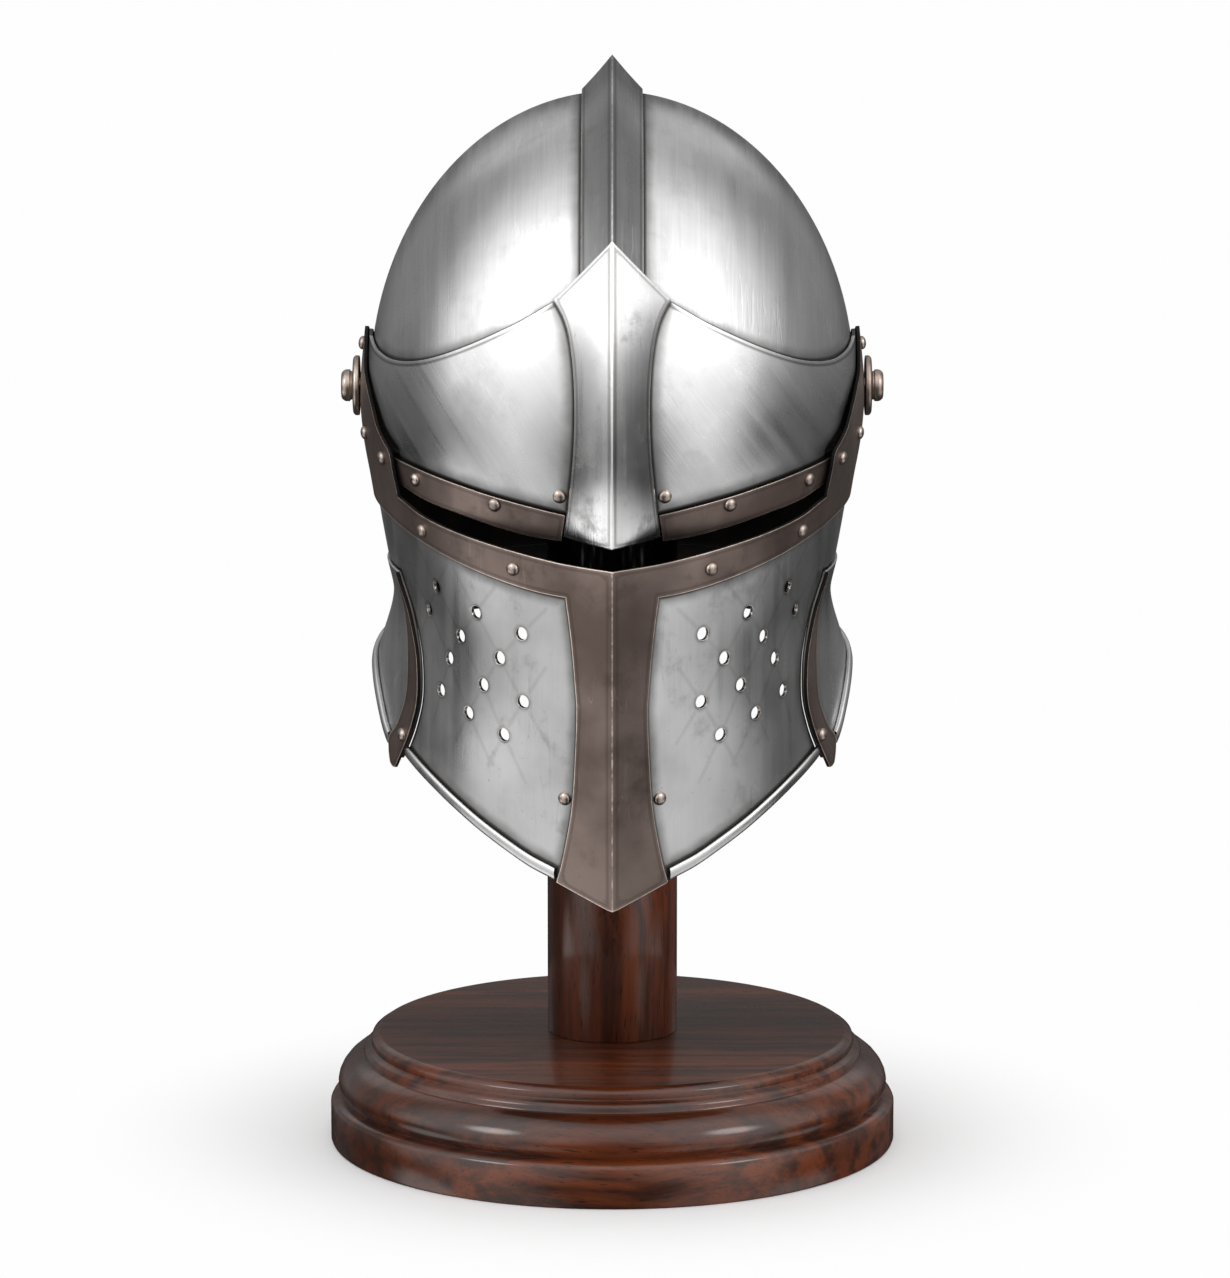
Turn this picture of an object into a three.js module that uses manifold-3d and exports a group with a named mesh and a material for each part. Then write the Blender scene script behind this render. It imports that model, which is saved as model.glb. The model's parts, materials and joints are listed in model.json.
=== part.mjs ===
// A steel close helmet on a turned wooden stand.
// Millimetres, +Z up, the face looks along -Y, and the origin is the middle of the stand's foot.
// Heights on the helmet are measured from the pivot axis that the visor and bevor swing about.

import * as THREE from 'three';
import { mergeVertices } from 'three/addons/utils/BufferGeometryUtils.js';
import Module from 'manifold-3d';

const wasm = await Module();
wasm.setup();

// Driving sizes
const sheet = 1.5;
const bandSheet = 1.2;
const seatGap = 0.3;
const runningGap = 0.6;
const swingGap = 0.9;

const pivotHeight = 353;
const skullHalfWidth = 110.5;
const skullFrontReach = 134;
const skullBackReach = 128;
const browDrop = 26;
const napeDrop = 90;
const faceOpeningTop = 62;
const faceOpeningFoot = 69;

const combHalfWidth = 13.8;
const combHeight = 16.5;
const combSheet = 1.6;
const combFrontAngle = 14;
const combBackAngle = 180;
const combTailDrop = 52;
const combTailHeight = 6;

const keelStand = 11.8;
const chinDrop = 215.5;
const wingRadius = 26;
const armRadius = 27;
const slitTopDrop = 39.5;

const waistDrop = 78;
const guardStand = 1.2;
const guardFlare = 5.4;
const guardSeat = 0.7;
const guardButt = 0.55;
const rimWidth = 5.6;
const rimProud = 2.6;
const rimSeat = 0.45;

const boltRadius = 3.4;
const boltHole = 4.0;
const boltHeadRadius = 7.3;
const boltHeadHeight = 5.2;
const discRadius = 13.7;
const discThickness = 3;

const breathHoleRadius = 3;
const rivetRadius = 3.1;
const rivetHeight = 2;
const nasalHalfWidth = 16.4;

const footRadius = 131;
const footHeight = 51;
const postRadius = 30;
const postClearance = 0.75;

// Sizes that follow from them
const visorHalfWidth = skullHalfWidth + runningGap + sheet;
const visorReach = skullFrontReach + swingGap + sheet;
const bevorHalfWidth = visorHalfWidth + runningGap;
const keelReach = visorReach + keelStand;
const combCrest = skullFrontReach + combHeight;
const nasalCrest = combCrest + swingGap + 2 * sheet;
const frameLift = seatGap + sheet;
const discInner = bevorHalfWidth + frameLift + seatGap;
const headInner = discInner + discThickness + seatGap;

const DEG = Math.PI / 180;

// Browned bands, bright steel plates, warm steel fasteners and a dark wooden stand
const finishes = {
  steel: new THREE.MeshStandardMaterial({ color: 0xa9abae, roughness: 0.32, metalness: 1 }),
  band: new THREE.MeshStandardMaterial({ color: 0x5d524c, roughness: 0.42, metalness: 1 }),
  fastener: new THREE.MeshStandardMaterial({ color: 0x8d8178, roughness: 0.35, metalness: 1 }),
  wood: new THREE.MeshStandardMaterial({ color: 0x4a2216, roughness: 0.25, metalness: 0 }),
};

// A smooth value between the rows of a table, read by the named column
function smooth(table, key, column, at) {
  const last = table.length - 1;
  let i = 0;
  while (i < last - 1 && at > table[i + 1][key]) i += 1;
  const slope = (k) => {
    const low = Math.max(0, k - 1);
    const high = Math.min(last, k + 1);
    return (table[high][column] - table[low][column]) / (table[high][key] - table[low][key]);
  };
  const span = table[i + 1][key] - table[i][key];
  const t = Math.min(1, Math.max(0, (at - table[i][key]) / span));
  const t2 = t * t;
  const t3 = t2 * t;
  return (2 * t3 - 3 * t2 + 1) * table[i][column]
    + (t3 - 2 * t2 + t) * span * slope(i)
    + (3 * t2 - 2 * t3) * table[i + 1][column]
    + (t3 - t2) * span * slope(i + 1);
}

const mix = (a, b, t) => a + (b - a) * t;
const steps = (from, to, count) => Array.from({ length: count + 1 }, (_, i) => mix(from, to, i / count));
const circleArc = (radius, offset) => Math.sqrt(Math.max(0, radius * radius - offset * offset));

// Sections of the bevor, from above the pivot to below the chin.
// drop is a share of chinDrop, halfWidth of bevorHalfWidth, reach of keelReach and back of skullBackReach.
// taper draws the cheeks back from the keel, and fullness squares the section at the sides.
const bevorSections = [
  { drop: -0.14, halfWidth: 0.977, reach: 0.927, taper: 0, fullness: 2, back: 0.98 },
  { drop: 0, halfWidth: 1, reach: 0.95, taper: 0, fullness: 2.1, back: 1 },
  { drop: 0.093, halfWidth: 0.99, reach: 0.97, taper: 0.08, fullness: 2.5, back: 0.98 },
  { drop: 0.186, halfWidth: 0.96, reach: 0.987, taper: 0.21, fullness: 3.1, back: 0.95 },
  { drop: 0.278, halfWidth: 0.931, reach: 1, taper: 0.28, fullness: 3.4, back: 0.88 },
  { drop: 0.348, halfWidth: 0.907, reach: 1, taper: 0.31, fullness: 3.5, back: 0.822 },
  { drop: 0.441, halfWidth: 0.872, reach: 0.997, taper: 0.33, fullness: 3.6, back: 0.785 },
  { drop: 0.58, halfWidth: 0.895, reach: 0.983, taper: 0.37, fullness: 3.8, back: 0.8 },
  { drop: 0.766, halfWidth: 0.937, reach: 0.943, taper: 0.43, fullness: 4, back: 0.84 },
  { drop: 1.067, halfWidth: 0.955, reach: 0.88, taper: 0.47, fullness: 4, back: 0.86 },
];

// Sections of the skull below the pivot: shares of napeDrop, skullHalfWidth and skullBackReach.
// The nape is drawn in further where the neck guard lies round it.
const skullSections = [
  { drop: 0, halfWidth: 1, back: 1 },
  { drop: 0.28, halfWidth: 0.9825, back: 0.975 },
  { drop: 0.45, halfWidth: 0.957, back: 0.935 },
  { drop: 0.67, halfWidth: 0.925, back: 0.875 },
  { drop: 0.83, halfWidth: 0.915, back: 0.82 },
  { drop: 1, halfWidth: 0.905, back: 0.79 },
];

// The back half of every section is a plain ellipse
const backFullness = 2;

// Distance from the upright axis to a section, looking along angle degrees from the front
function sectionRadius(section, angle) {
  const target = Math.abs(angle) * DEG;
  let low = 0;
  let high = Math.PI;
  let x = 0;
  let y = 0;
  for (let i = 0; i < 36; i += 1) {
    const phi = (low + high) / 2;
    const front = phi <= Math.PI / 2;
    const reach = Math.sin(phi) ** (2 / (front ? section.fullness : backFullness));
    x = section.halfWidth * reach;
    y = front
      ? -section.reach * (1 - section.taper * reach) * Math.cos(phi)
      : -section.back * Math.cos(phi);
    if (Math.atan2(x, -y) < target) low = phi;
    else high = phi;
  }
  return Math.hypot(x, y);
}

const sectionCache = new Map();
function bevorSection(drop) {
  const found = sectionCache.get(drop);
  if (found) return found;
  const at = drop / chinDrop;
  const read = (column) => smooth(bevorSections, 'drop', column, at);
  const section = {
    halfWidth: bevorHalfWidth * read('halfWidth'),
    reach: keelReach * read('reach'),
    back: skullBackReach * read('back'),
    taper: read('taper'),
    fullness: read('fullness'),
  };
  sectionCache.set(drop, section);
  return section;
}

function placeRound(radius, angle, drop) {
  const turn = angle * DEG;
  return new THREE.Vector3(radius * Math.sin(turn), -radius * Math.cos(turn), pivotHeight - drop);
}

// Outer faces without thickness. a is the angle from the front in degrees, b the drop below the pivot.
const bevorFace = (a, b) => placeRound(sectionRadius(bevorSection(b), a), a, b);

function skullFace(a, b) {
  if (b <= 0) {
    // Above the pivot b is minus the elevation in degrees, so that the crown closes at -90
    const ring = Math.cos(b * DEG);
    const drop = skullFrontReach * Math.sin(b * DEG);
    const back = Math.abs(a) > 90 ? skullBackReach : skullFrontReach;
    const radius = ring / Math.hypot(Math.sin(a * DEG) / skullHalfWidth, Math.cos(a * DEG) / back);
    return placeRound(radius, a, drop);
  }
  const share = b / napeDrop;
  const section = {
    halfWidth: skullHalfWidth * smooth(skullSections, 'drop', 'halfWidth', share),
    reach: circleArc(skullFrontReach, b),
    back: skullBackReach * smooth(skullSections, 'drop', 'back', share),
    taper: 0,
    fullness: 2,
  };
  const guardInside = sectionRadius(bevorSection(b), a) + guardStand - sheet;
  return placeRound(Math.min(sectionRadius(section, a), guardInside - guardSeat), a, b);
}

// How far down the neck guard reaches at each angle, as shares of chinDrop, and its share of the flare
const guardHem = [
  { angle: 50, drop: 0.79, flare: 0 },
  { angle: 60, drop: 0.762, flare: 0.05 },
  { angle: 67, drop: 0.733, flare: 0.2 },
  { angle: 75, drop: 0.68, flare: 0.45 },
  { angle: 83, drop: 0.63, flare: 0.8 },
  { angle: 90, drop: 0.6, flare: 1 },
  { angle: 110, drop: 0.567, flare: 1.05 },
  { angle: 180, drop: 0.555, flare: 1.1 },
];
const hemDrop = (angle) => chinDrop * smooth(guardHem, 'angle', 'drop', Math.abs(angle));
const ease = (t) => {
  const c = Math.min(1, Math.max(0, t));
  return c * c * (3 - 2 * c);
};

function guardFace(a, b) {
  const hem = hemDrop(a);
  const share = (b - waistDrop) / (hem - waistDrop);
  const flare = smooth(guardHem, 'angle', 'flare', Math.abs(a)) * ease((share - 0.2) / 0.8);
  return placeRound(sectionRadius(bevorSection(b), a) + guardStand + guardFlare * flare, a, b);
}

// The visor turns about the pivot axis, so its plates are surfaces of revolution about X.
// a is the distance from the middle plane, b the angle above the front horizontal in degrees.
function turned(x, radius, b) {
  return new THREE.Vector3(x, -radius * Math.cos(b * DEG), pivotHeight + radius * Math.sin(b * DEG));
}
const browRadius = (x) => visorReach * Math.sqrt(Math.max(0, 1 - (x / visorHalfWidth) ** 2));

// The brow plates are charted from the pivot: a runs towards the nose and b upwards, both in degrees of arc
const browFace = (side) => (a, b) => {
  const arc = Math.hypot(a, b);
  const radius = visorReach * Math.sin(arc * DEG);
  return turned(side * visorHalfWidth * Math.cos(arc * DEG), radius, Math.atan2(b, a) / DEG);
};

// The nasal plate rides over the comb as a ridge and comes down on the brow plates at its edges
const nasalFoot = sheet + seatGap;
const nasalShoulder = 0.6;
function nasalFace(a, b) {
  const x = Math.abs(a);
  const shoulder = browRadius(combHalfWidth) + 2 * sheet + seatGap + nasalShoulder;
  const slope = (nasalCrest - shoulder) / combHalfWidth;
  const roof = nasalCrest - slope * x;
  const skirt = browRadius(x) + nasalFoot;
  return turned(a, Math.max(roof, skirt), b);
}

// Offsets a face outwards, keeping points of the middle plane in that plane
function offsetFace(face, a, b, offset, mirrored) {
  const step = 0.02;
  const centre = face(a, b);
  const normalAt = (u, v) => {
    const du = face(u + step, v).sub(face(u - step, v));
    const dv = face(u, v + step).sub(face(u, v - step));
    const n = du.cross(dv);
    return n.lengthSq() > 1e-16 ? n.normalize() : new THREE.Vector3(0, 0, 1);
  };
  const outwards = (n, point) => {
    const away = new THREE.Vector3(point.x, point.y, (point.z - pivotHeight) * 0.3);
    return n.dot(away) < 0 ? n.negate() : n;
  };
  let normal = outwards(normalAt(a, b), centre);
  if (mirrored && Math.abs(a) < 1e-9) {
    const beside = outwards(normalAt(3 * step, b), centre);
    const flat = new THREE.Vector3(0, beside.y, beside.z);
    normal = flat.clone().divideScalar(flat.lengthSq());
  }
  return centre.addScaledVector(normal, offset);
}

// Points nearer than this are one corner where two grids meet
const mergeDistance = 0.01;

// A sheet made of grids of face points: outer skin, inner skin, and edges closed all round
function sheetSolid(face, grids, outer, inner, mirrored = true) {
  const outerPoints = [];
  const innerPoints = [];
  const triangles = [];
  const indexOf = ([a, b]) => {
    const point = offsetFace(face, a, b, outer, mirrored);
    const known = outerPoints.findIndex((other) => other.distanceToSquared(point) < mergeDistance ** 2);
    if (known >= 0) return known;
    outerPoints.push(point);
    innerPoints.push(offsetFace(face, a, b, inner, mirrored));
    return outerPoints.length - 1;
  };
  for (const grid of grids) {
    const ids = grid.map((row) => row.map(indexOf));
    for (let i = 0; i < ids.length - 1; i += 1) {
      for (let j = 0; j < ids[i].length - 1; j += 1) {
        const [p, q, r, s] = [ids[i][j], ids[i][j + 1], ids[i + 1][j + 1], ids[i + 1][j]];
        for (const tri of [[p, q, r], [p, r, s]]) {
          if (new Set(tri).size === 3) triangles.push(orient(tri, outerPoints, innerPoints));
        }
      }
    }
  }
  const edges = new Map();
  for (const [p, q, r] of triangles) {
    for (const [from, to] of [[p, q], [q, r], [r, p]]) edges.set(`${from} ${to}`, [from, to]);
  }
  const count = outerPoints.length;
  const index = [];
  for (const [p, q, r] of triangles) index.push(p, q, r, count + p, count + r, count + q);
  for (const [from, to] of edges.values()) {
    if (edges.has(`${to} ${from}`)) continue;
    index.push(to, from, count + from, to, count + from, count + to);
  }
  return fromPoints([...outerPoints, ...innerPoints], index);
}

// Turns a triangle so that it faces from the inner skin to the outer one
function orient([p, q, r], outerPoints, innerPoints) {
  const along = outerPoints[q].clone().sub(outerPoints[p]);
  const normal = along.cross(outerPoints[r].clone().sub(outerPoints[p]));
  const away = outerPoints[p].clone().sub(innerPoints[p]);
  return normal.dot(away) >= 0 ? [p, q, r] : [p, r, q];
}

function fromPoints(points, index) {
  const geometry = new THREE.BufferGeometry();
  const corners = points.flatMap((p) => [p.x, p.y, p.z]);
  geometry.setAttribute('position', new THREE.Float32BufferAttribute(corners, 3));
  geometry.setIndex(index);
  return geometry;
}

function toSolid(geometry) {
  const plain = geometry.clone();
  plain.deleteAttribute('normal');
  plain.deleteAttribute('uv');
  const merged = mergeVertices(plain, 1e-4);
  return new wasm.Manifold(new wasm.Mesh({
    numProp: 3,
    vertProperties: new Float32Array(merged.attributes.position.array),
    triVerts: new Uint32Array(merged.index.array),
  }));
}

function fromSolid(solid) {
  const mesh = solid.getMesh();
  const geometry = new THREE.BufferGeometry();
  geometry.setAttribute('position', new THREE.BufferAttribute(new Float32Array(mesh.vertProperties), 3));
  geometry.setIndex(new THREE.BufferAttribute(new Uint32Array(mesh.triVerts), 1));
  return geometry;
}

function drill(geometry, cutters) {
  let solid = toSolid(geometry);
  for (const cutter of cutters) solid = solid.subtract(toSolid(cutter));
  return fromSolid(solid);
}

// A round cutter or pin along a direction
function roundBar(centre, direction, radius, length, sides) {
  const bar = new THREE.CylinderGeometry(radius, radius, length, sides);
  const turn = new THREE.Quaternion();
  turn.setFromUnitVectors(new THREE.Vector3(0, 1, 0), direction.clone().normalize());
  return bar.applyQuaternion(turn).translate(centre.x, centre.y, centre.z);
}

function pivotCutter(side) {
  const centre = new THREE.Vector3(side * skullHalfWidth, 0, pivotHeight);
  return roundBar(centre, new THREE.Vector3(1, 0, 0), boltHole, 30, 12);
}

// A low round head standing on a face
function rivetHead(face, a, b, offset) {
  const seat = offsetFace(face, a, b, offset + seatGap, false);
  const tip = offsetFace(face, a, b, offset + seatGap + 1, false);
  const profile = [
    [0, 0],
    [rivetRadius, 0],
    [rivetRadius * 0.8, rivetHeight * 0.68],
    [0, rivetHeight],
  ].map(([x, y]) => new THREE.Vector2(x, y));
  const head = new THREE.LatheGeometry(profile, 8);
  const up = tip.sub(seat).normalize();
  head.applyQuaternion(new THREE.Quaternion().setFromUnitVectors(new THREE.Vector3(0, 1, 0), up));
  return head.translate(seat.x, seat.y, seat.z);
}

// A half-round roll laid along a line of face points, as the turned edge of a plate
function rollAlong(face, line, width, offset, proud) {
  const section = [[-0.5, 0], [-0.42, 0.62], [0, 1], [0.42, 0.62], [0.5, 0]];
  const rings = line.map(([a, b]) => section.map(([along, out]) => (
    offsetFace(face, a, b + along * width, offset + out * proud, false))));
  const points = rings.flat();
  const size = section.length;
  const index = [];
  for (let i = 0; i < rings.length - 1; i += 1) {
    for (let j = 0; j < size; j += 1) {
      const p = i * size + j;
      const q = i * size + ((j + 1) % size);
      index.push(p, q, q + size, p, q + size, p + size);
    }
  }
  const end = (rings.length - 1) * size;
  for (let j = 1; j < size - 1; j += 1) {
    index.push(0, j + 1, j);
    index.push(end, end + j, end + j + 1);
  }
  return facingOut(fromPoints(points, index));
}

function signedVolume(geometry) {
  const p = geometry.attributes.position;
  const index = geometry.index.array;
  const v = [0, 1, 2].map(() => new THREE.Vector3());
  let sum = 0;
  for (let i = 0; i < index.length; i += 3) {
    v.forEach((corner, k) => corner.fromBufferAttribute(p, index[i + k]));
    sum += v[0].dot(v[1].clone().cross(v[2])) / 6;
  }
  return sum;
}

// A closed body whose triangles were wound inwards is turned over
function facingOut(geometry) {
  if (signedVolume(geometry) >= 0) return geometry;
  const index = [...geometry.index.array];
  for (let i = 0; i < index.length; i += 3) [index[i + 1], index[i + 2]] = [index[i + 2], index[i + 1]];
  geometry.setIndex(index);
  return geometry;
}

const helmet = new THREE.Group();

function addPiece(name, geometry, finish) {
  const mesh = new THREE.Mesh(geometry, finishes[finish]);
  mesh.name = name;
  helmet.add(mesh);
  return mesh;
}

const sides = [
  { name: 'left', sign: -1 },
  { name: 'right', sign: 1 },
];

// Stand: the turned foot. radius and height are shares of footRadius and footHeight.
const footProfile = [
  { radius: 1, height: 0 },
  { radius: 1, height: 0.38 },
  { radius: 0.985, height: 0.415 },
  { radius: 0.953, height: 0.43 },
  { radius: 0.97, height: 0.49 },
  { radius: 0.972, height: 0.58 },
  { radius: 0.955, height: 0.67 },
  { radius: 0.92, height: 0.75 },
  { radius: 0.888, height: 0.785 },
  { radius: 0.88, height: 0.84 },
  { radius: 0.856, height: 0.885 },
  { radius: 0.853, height: 0.955 },
  { radius: 0.838, height: 1 },
];

function standFoot() {
  const profile = footProfile.map(({ radius, height }) => (
    new THREE.Vector2(radius * footRadius, height * footHeight)));
  const closed = [new THREE.Vector2(0, 0), ...profile, new THREE.Vector2(0, footHeight)];
  return new THREE.LatheGeometry(closed, 38).rotateX(Math.PI / 2);
}

// The post carries the skull at the crown, so its head follows the inside of the skull
function standPost() {
  const crownInside = (radius) => {
    const inner = skullFrontReach - sheet;
    return pivotHeight + inner * Math.sqrt(1 - (radius / (skullHalfWidth - sheet)) ** 2) - postClearance;
  };
  const head = [1, 0.9, 0.66, 0.33].map((share) => (
    new THREE.Vector2(share * postRadius, crownInside(share * postRadius))));
  const profile = [
    new THREE.Vector2(0, footHeight + seatGap),
    new THREE.Vector2(postRadius, footHeight + seatGap),
    ...head,
    new THREE.Vector2(0, crownInside(0)),
  ];
  return new THREE.LatheGeometry(profile, 28).rotateX(Math.PI / 2);
}

// Skull: dome, sides and nape in one sheet, open at the face and at the neck
const sideColumns = 11;
function skullShell() {
  const frontColumns = steps(0, faceOpeningTop, 6);
  const sideShares = steps(0, 1, sideColumns);
  const right = [...frontColumns, ...sideShares.slice(1).map((t) => mix(faceOpeningTop, 180, t))];
  const around = [...right.slice(1).reverse().map((a) => -a), ...right];
  const rings = [...steps(-90, -12, 8), 0, browDrop * 0.5, browDrop];
  const dome = rings.map((b) => around.map((a) => [a, b]));
  const drops = steps(browDrop, napeDrop, 4);
  const lower = sides.map(({ sign }) => drops.map((b) => {
    const edge = mix(faceOpeningTop, faceOpeningFoot, (b - browDrop) / (napeDrop - browDrop));
    return sideShares.map((t) => [sign * mix(edge, 180, t), b]);
  }));
  const shell = sheetSolid(skullFace, [dome, ...lower], 0, -sheet, false);
  return drill(shell, sides.map(({ sign }) => pivotCutter(sign)));
}

// Comb: a folded strip over the crown.
// Its crest keeps one radius at the front, where the visor slides over it.
const combStand = 0.15;
function combStrip() {
  const skullIn = (x, angle) => {
    const reach = Math.abs(angle) > 90 ? skullBackReach : skullFrontReach;
    const c = Math.cos(angle * DEG) / reach;
    const s = Math.sin(angle * DEG) / skullFrontReach;
    return Math.sqrt(1 - (x / skullHalfWidth) ** 2) / Math.hypot(c, s);
  };
  const crestAt = (angle) => {
    const back = ease((angle - 95) / (combBackAngle - 95));
    return mix(combCrest, skullIn(0, angle) + combTailHeight, back);
  };
  const chevron = (place, foot, crest, under) => [
    place(-combHalfWidth, foot),
    place(-combHalfWidth, foot + combSheet),
    place(0, crest),
    place(combHalfWidth, foot + combSheet),
    place(combHalfWidth, foot),
    place(0, under),
  ];
  const seat = seatGap + combStand;
  const over = steps(combFrontAngle, combBackAngle, 22).map((angle) => {
    const foot = skullIn(combHalfWidth, angle) + seat;
    const crest = crestAt(angle);
    const under = Math.max(crest - combSheet * 1.45, skullIn(0, angle) + seat);
    return chevron((x, radius) => turned(x, radius, angle), foot, crest, under);
  });
  const tail = steps(0, combTailDrop, 5).slice(1).map((drop) => {
    const behind = (x) => skullFace(180 - Math.asin(x / skullBackReach) / DEG, drop).y;
    const crest = behind(0) + mix(combTailHeight, combSheet + 1, (drop / combTailDrop) ** 2);
    const under = Math.max(crest - combSheet * 1.45, behind(0) + seat);
    const place = (x, y) => new THREE.Vector3(x, y, pivotHeight - drop);
    return chevron(place, behind(combHalfWidth) + seat, crest, under);
  });
  return loftRings([...over, ...tail]);
}

function loftRings(rings) {
  const size = rings[0].length;
  const index = [];
  for (let i = 0; i < rings.length - 1; i += 1) {
    for (let j = 0; j < size; j += 1) {
      const p = i * size + j;
      const q = i * size + ((j + 1) % size);
      index.push(p, q, q + size, p, q + size, p + size);
    }
  }
  // The chevron section is closed by two flanks at each end, each a quad
  const cap = [[0, 1, 2], [0, 2, 5], [5, 2, 3], [5, 3, 4]];
  const end = (rings.length - 1) * size;
  for (const [p, q, r] of cap) {
    index.push(p, r, q);
    index.push(end + p, end + q, end + r);
  }
  return facingOut(fromPoints(rings.flat(), index));
}

// Front edge of the neck guard: angle from the front at shares of chinDrop.
// Seen from the pivot the edge draws back all the way down, so the bevor swings up and away from it.
const guardEdge = [
  { drop: 0.2, angle: 63.5 },
  { drop: 0.355, angle: 62.4 },
  { drop: 0.4, angle: 60.4 },
  { drop: 0.45, angle: 56.5 },
  { drop: 0.5, angle: 52.9 },
  { drop: 0.53, angle: 51.4 },
  { drop: 0.573, angle: 50.6 },
  { drop: 0.616, angle: 50.9 },
  { drop: 0.654, angle: 52.5 },
  { drop: 0.702, angle: 55.6 },
  { drop: 0.768, angle: 61.6 },
  { drop: 0.8, angle: 65 },
];
const edgeAngle = (drop) => smooth(guardEdge, 'drop', 'angle', drop / chinDrop);

// The guard's sheet ends short of its hem, under the rim, and short of its front edge, under the border
const hemBack = 1;
const borderLap = 0.4;
function neckGuard() {
  const rows = steps(0, 1, 6);
  // The same columns as the skull's sides, so that the facets of the two lie side by side
  const shares = [0, 0.5 / sideColumns, ...steps(0, 1, sideColumns).slice(1)];
  const half = (sign) => rows.map((v) => shares.map((t) => {
    let angle = 60;
    let drop = waistDrop;
    for (let i = 0; i < 6; i += 1) {
      drop = mix(waistDrop, hemDrop(angle) - hemBack, v);
      angle = mix(edgeAngle(drop) + borderLap, 180, t);
    }
    return [sign * angle, drop];
  }));
  return sheetSolid(guardFace, [half(-1), half(1)], 0, -sheet, false);
}

const rimStartAngle = 68.5;
const rimEndAngle = 179.85;
function neckRim(sign) {
  const line = steps(rimStartAngle, rimEndAngle, 15).map((angle) => {
    const drop = hemDrop(angle) - rimWidth / 2 - 0.4;
    return [sign * angle, drop];
  });
  return rollAlong(guardFace, line, rimWidth, rimSeat, rimProud);
}

// The border strip's rear line and the pointed tab that hangs below the hem
const borderWidth = [
  { drop: 0.36, wide: 0.6 },
  { drop: 0.44, wide: 3.2 },
  { drop: 0.53, wide: 5.6 },
  { drop: 0.62, wide: 6.4 },
  { drop: 0.69, wide: 8 },
  { drop: 0.725, wide: 10.4 },
  { drop: 0.745, wide: 6.6 },
  { drop: 0.777, wide: 0.6 },
];
function guardBorder(sign) {
  const drops = steps(0.36, 0.777, 13).map((share) => share * chinDrop);
  const grid = drops.map((drop) => {
    const front = edgeAngle(drop);
    const wide = smooth(borderWidth, 'drop', 'wide', drop / chinDrop);
    return [0, 0.5, 1].map((t) => [sign * (front + wide * t), drop]);
  });
  return sheetSolid(guardFace, [grid], seatGap + sheet, seatGap, false);
}

// Visor edges charted from the pivot.
// along is a share of the way to the nose, the others are degrees of arc.
const visorEdges = [
  { along: 0, top: 11, band: -6, foot: -11 },
  { along: 0.1, top: 10.3, band: -7, foot: -11.6 },
  { along: 0.2, top: 9.4, band: -8.2, foot: -12.6 },
  { along: 0.35, top: 9.2, band: -9.6, foot: -13.8 },
  { along: 0.5, top: 11.3, band: -11.3, foot: -17 },
  { along: 0.65, top: 16.2, band: -13.7, foot: -19.8 },
  { along: 0.8, top: 23.6, band: -17, foot: -23.6 },
  { along: 0.9, top: 30.2, band: -19.6, foot: -26.4 },
  { along: 1, top: 37.2, band: -22.6, foot: -28.9 },
];
const wingArc = Math.asin(wingRadius / visorReach) / DEG;
const noseArc = Math.acos((combHalfWidth + 0.8) / visorHalfWidth) / DEG;

function browPlate(side) {
  const edge = (along, column) => smooth(visorEdges, 'along', column, along);
  const shares = [0, 0.05, 0.1, 0.2, 0.3, 0.4, 0.5, 0.6, 0.7, 0.8, 0.9, 1];
  const acrossPlate = [0, 0.18, 0.36, 0.54, 0.7, 0.85, 1];
  const round = [-1, -0.93, -0.75, -0.45].map((t) => acrossPlate.map((v) => (
    [t * wingArc, mix(1, -1, v) * circleArc(wingArc, t * wingArc)])));
  const plate = shares.map((along) => acrossPlate.map((v) => {
    const b = mix(edge(along, 'top'), edge(along, 'foot'), v);
    return [along * circleArc(noseArc, b), b];
  }));
  const shell = sheetSolid(browFace(side), [[...round, ...plate]], 0, -sheet, false);
  return drill(shell, [pivotCutter(side)]);
}

// The brow band lies on the plate's lower edge and stops short of the nasal plate
function browBand(side) {
  const edge = (along, column) => smooth(visorEdges, 'along', column, along);
  const bandArc = Math.acos((nasalHalfWidth + 5.6) / visorHalfWidth) / DEG;
  const grid = [0.37, 0.45, 0.55, 0.65, 0.75, 0.85, 0.93, 1].map((along) => [0, 0.5, 1].map((v) => {
    const b = mix(edge(along, 'band'), edge(along, 'foot') - 0.7, v);
    const reach = mix(bandArc + 0.9, bandArc, v);
    return [along * circleArc(reach, b), b];
  }));
  return sheetSolid(browFace(side), [grid], seatGap + bandSheet, seatGap, false);
}

// Width of the nasal plate at angles above the front horizontal, as a share of nasalHalfWidth
const nasalWidths = [
  { angle: -21.3, wide: 1.3 },
  { angle: -14, wide: 1.16 },
  { angle: -6, wide: 1.04 },
  { angle: 1.5, wide: 1 },
  { angle: 9, wide: 1.04 },
  { angle: 15, wide: 1.15 },
  { angle: 19.6, wide: 1.31 },
  { angle: 24.4, wide: 1.56 },
];
const nasalApex = 32.3;

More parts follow.
